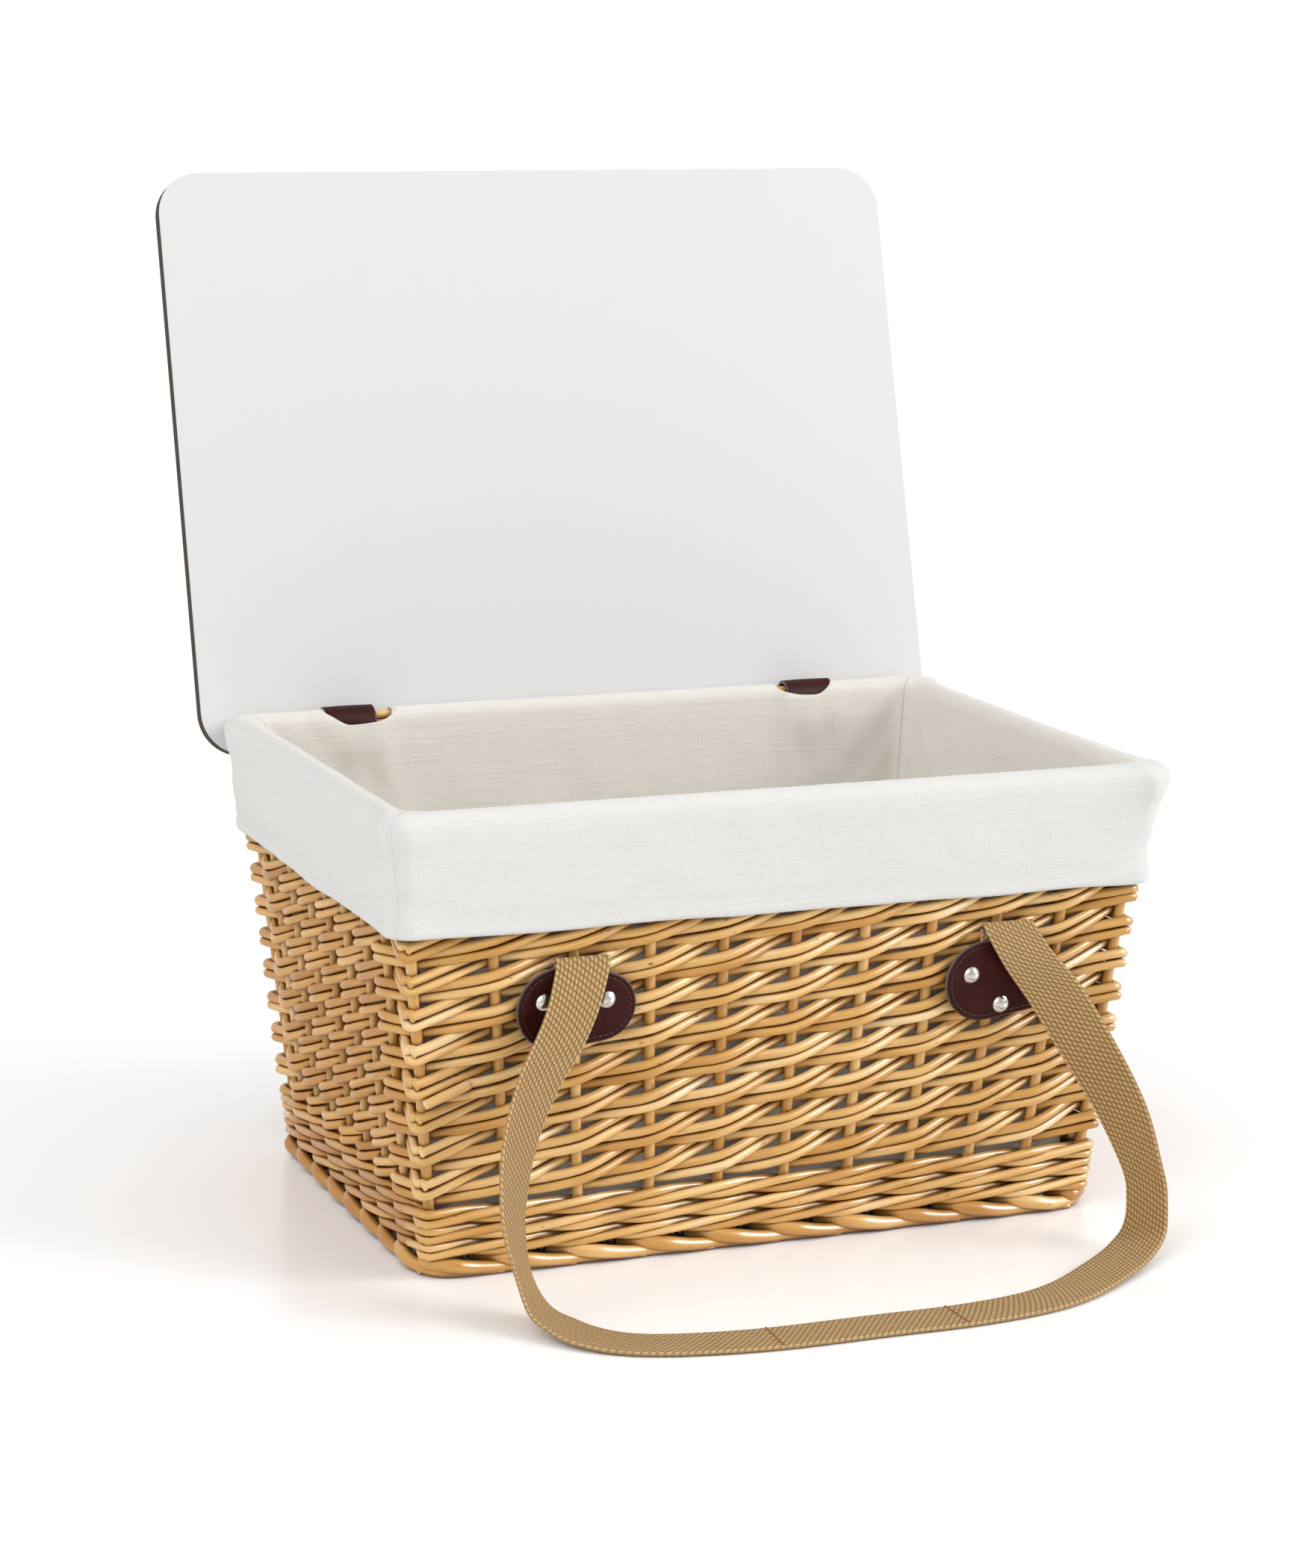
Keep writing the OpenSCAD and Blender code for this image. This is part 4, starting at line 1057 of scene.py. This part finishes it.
build_handle("front_handle", FRONT_LIE, False)
build_handle("rear_handle", REAR_LIE, True)
SIDES = (("front", False), ("rear", True))
for side, flip in SIDES:
    build_webbing_ends(side, flip)
for side, flip in SIDES:
    for i, hand in enumerate(("left", "right")):
        build_patch(side + "_" + hand, i, flip)

# --- hinge loops
LID_FACE, LID_T, LID_BELOW = 10.5, 9.0, 13.7  # from the hinge line to the board, through it, and below
LOOP_T, LOOP_R = 2.2, 9.1


def lid_point(x, w, u):
    """A point of the lid's own frame: w from the hinge line through the board, u up the board."""
    return np.array([x, LID_AXIS_Y + w * LID_COS + u * LID_SIN, LID_AXIS_Z - w * LID_SIN + u * LID_COS])


def build_hinge_loop(side, x):
    """A leather strip once round the border, under the edge of the board and up its back."""
    h, e = LOOP_W / 2, LOOP_T / 2
    ring = [(LOOP_R * c, LOOP_R * s) for c, s in map(polar, range(-70, 266, 12))]
    back, under = LID_FACE + LID_T + 0.2 + e, -LID_BELOW - 0.2 - e
    tail = [(3.5, -11.0), (7.5, under + 0.6), (10.5, under), (back - 4, under), (back - 1.2, under + 1.0),
            (back, under + 4), (back, -4), (back, 8), (back, 23)]
    line = spline([(w, u, 0) for w, u in ring + tail], 3, 0.5)[:, :2]
    half = [(-h + 0.5, -e), (-h, -0.4 * e), (-h, 0.4 * e), (-h + 0.5, e)]
    half += [(k, e) for k in (-h + 1.6, -5, 0, 5, h - 1.6)]
    section = half + [(-a, -b) for a, b in half]
    verts, edge = [], []
    for (w, u), (tw, tu) in zip(line, tangents(line)):
        for a, b in section:
            k = b + 0.25 * noise.noise(Vector((w / 6, u / 6, a / 9)))
            verts.append(lid_point(x + a, w + k * tu, u - k * tw))
            edge.append(1.0 if abs(a) > h - 0.3 else 0.0)
    mesh = smooth_mesh(side + "_hinge_leather", verts, ring_faces(len(line), len(section)))
    point_data(mesh, "edge", edge)
    place(mesh, LEATHER, "lid", side + "_hinge_loop")


for side, x in zip(("left", "right"), LOOP_X):
    build_hinge_loop(side, x)

# --- finishes of the CAD nodes that stay
for node, material in (("lid_board", LID), ("hinge_rivets", NICKEL), ("front_patch_rivets", NICKEL),
                       ("rear_patch_rivets", NICKEL), ("upper_rows", WILLOW_CAD)):
    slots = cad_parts[node].data.materials
    slots.clear()
    slots.append(material)

# --- camera, light and floor
VIEW_TURN, VIEW_TILT, VIEW_ROLL, VIEW_LENS = -21.23, 11.10, 0.43, 90.69
VIEW_FROM = (-0.7970, -2.0094, 0.6513)
SHEET_TOWARD = (0.362, 0.932, 0.0)  # the way from the camera to the paper behind the basket
STUDIO_HALF, STUDIO_Z = 40, -0.0004


def build_camera():
    cam = bpy.data.cameras.new("photo_camera")
    cam.lens, cam.sensor_width = VIEW_LENS, 36
    (c, s), (flat, rise), (level, tip) = map(polar, (VIEW_TURN, VIEW_TILT, VIEW_ROLL))
    back, right = Vector((s * flat, -c * flat, rise)), Vector((c, s, 0))
    up = back.cross(right)
    side, top = right * level + up * tip, up * level - right * tip
    m = Matrix((side, top, back)).transposed().to_4x4()
    m.translation = Vector(VIEW_FROM)
    scene.camera = add_object(cam)
    scene.camera.matrix_world = m


def sun_light(name, toward, power, spread, diffuse=True):
    data = bpy.data.lights.new(name, "SUN")
    data.energy, data.angle = power, math.radians(spread)
    o = add_object(data)
    o.rotation_euler = Vector(toward).to_track_quat("Z", "Y").to_euler()
    o.visible_diffuse = diffuse


def build_studio():
    n = Nodes("studio_floor")
    pale = n.mix(n.noise(n.object_at(), 2.0, 2), (0.94, 0.94, 0.942), (0.955, 0.955, 0.957))
    mesh = bpy.data.meshes.new("studio_floor")
    corners = [(sx * STUDIO_HALF, sy * STUDIO_HALF, STUDIO_Z) for sx, sy in SIGNS]
    mesh.from_pydata(corners, [], [(0, 1, 2, 3)])
    mesh.materials.append(n.end(pale, 0.22, Specular_IOR_Level=0.12))
    add_object(mesh)
    # an even light tent with a brighter sheet of paper hung behind the basket
    n = Nodes("studio", "worlds", "Background")
    scene.world = n.owner
    toward = n.dot(n.new("ShaderNodeTexCoord").outputs["Generated"], SHEET_TOWARD)
    sheet = n.new("ShaderNodeMapRange", {0: toward, 1: 0.78, 2: 0.92, 3: 0.75, 4: 1.15}).outputs[0]
    n.put(n.shader.inputs[0], (1.0, 1.0, 1.0, 1))
    n.put(n.shader.inputs[1], sheet)
    sun_light("key", (1.0, -0.62, 0.62), 1.65, 36)
    sun_light("gloss", (0.80, -0.45, 0.50), 7.0, 30, diffuse=False)
    sun_light("fill", (-1.0, -0.5, 0.8), 1.25, 60)
    scene.view_settings.view_transform = "Standard"


build_camera()
build_studio()
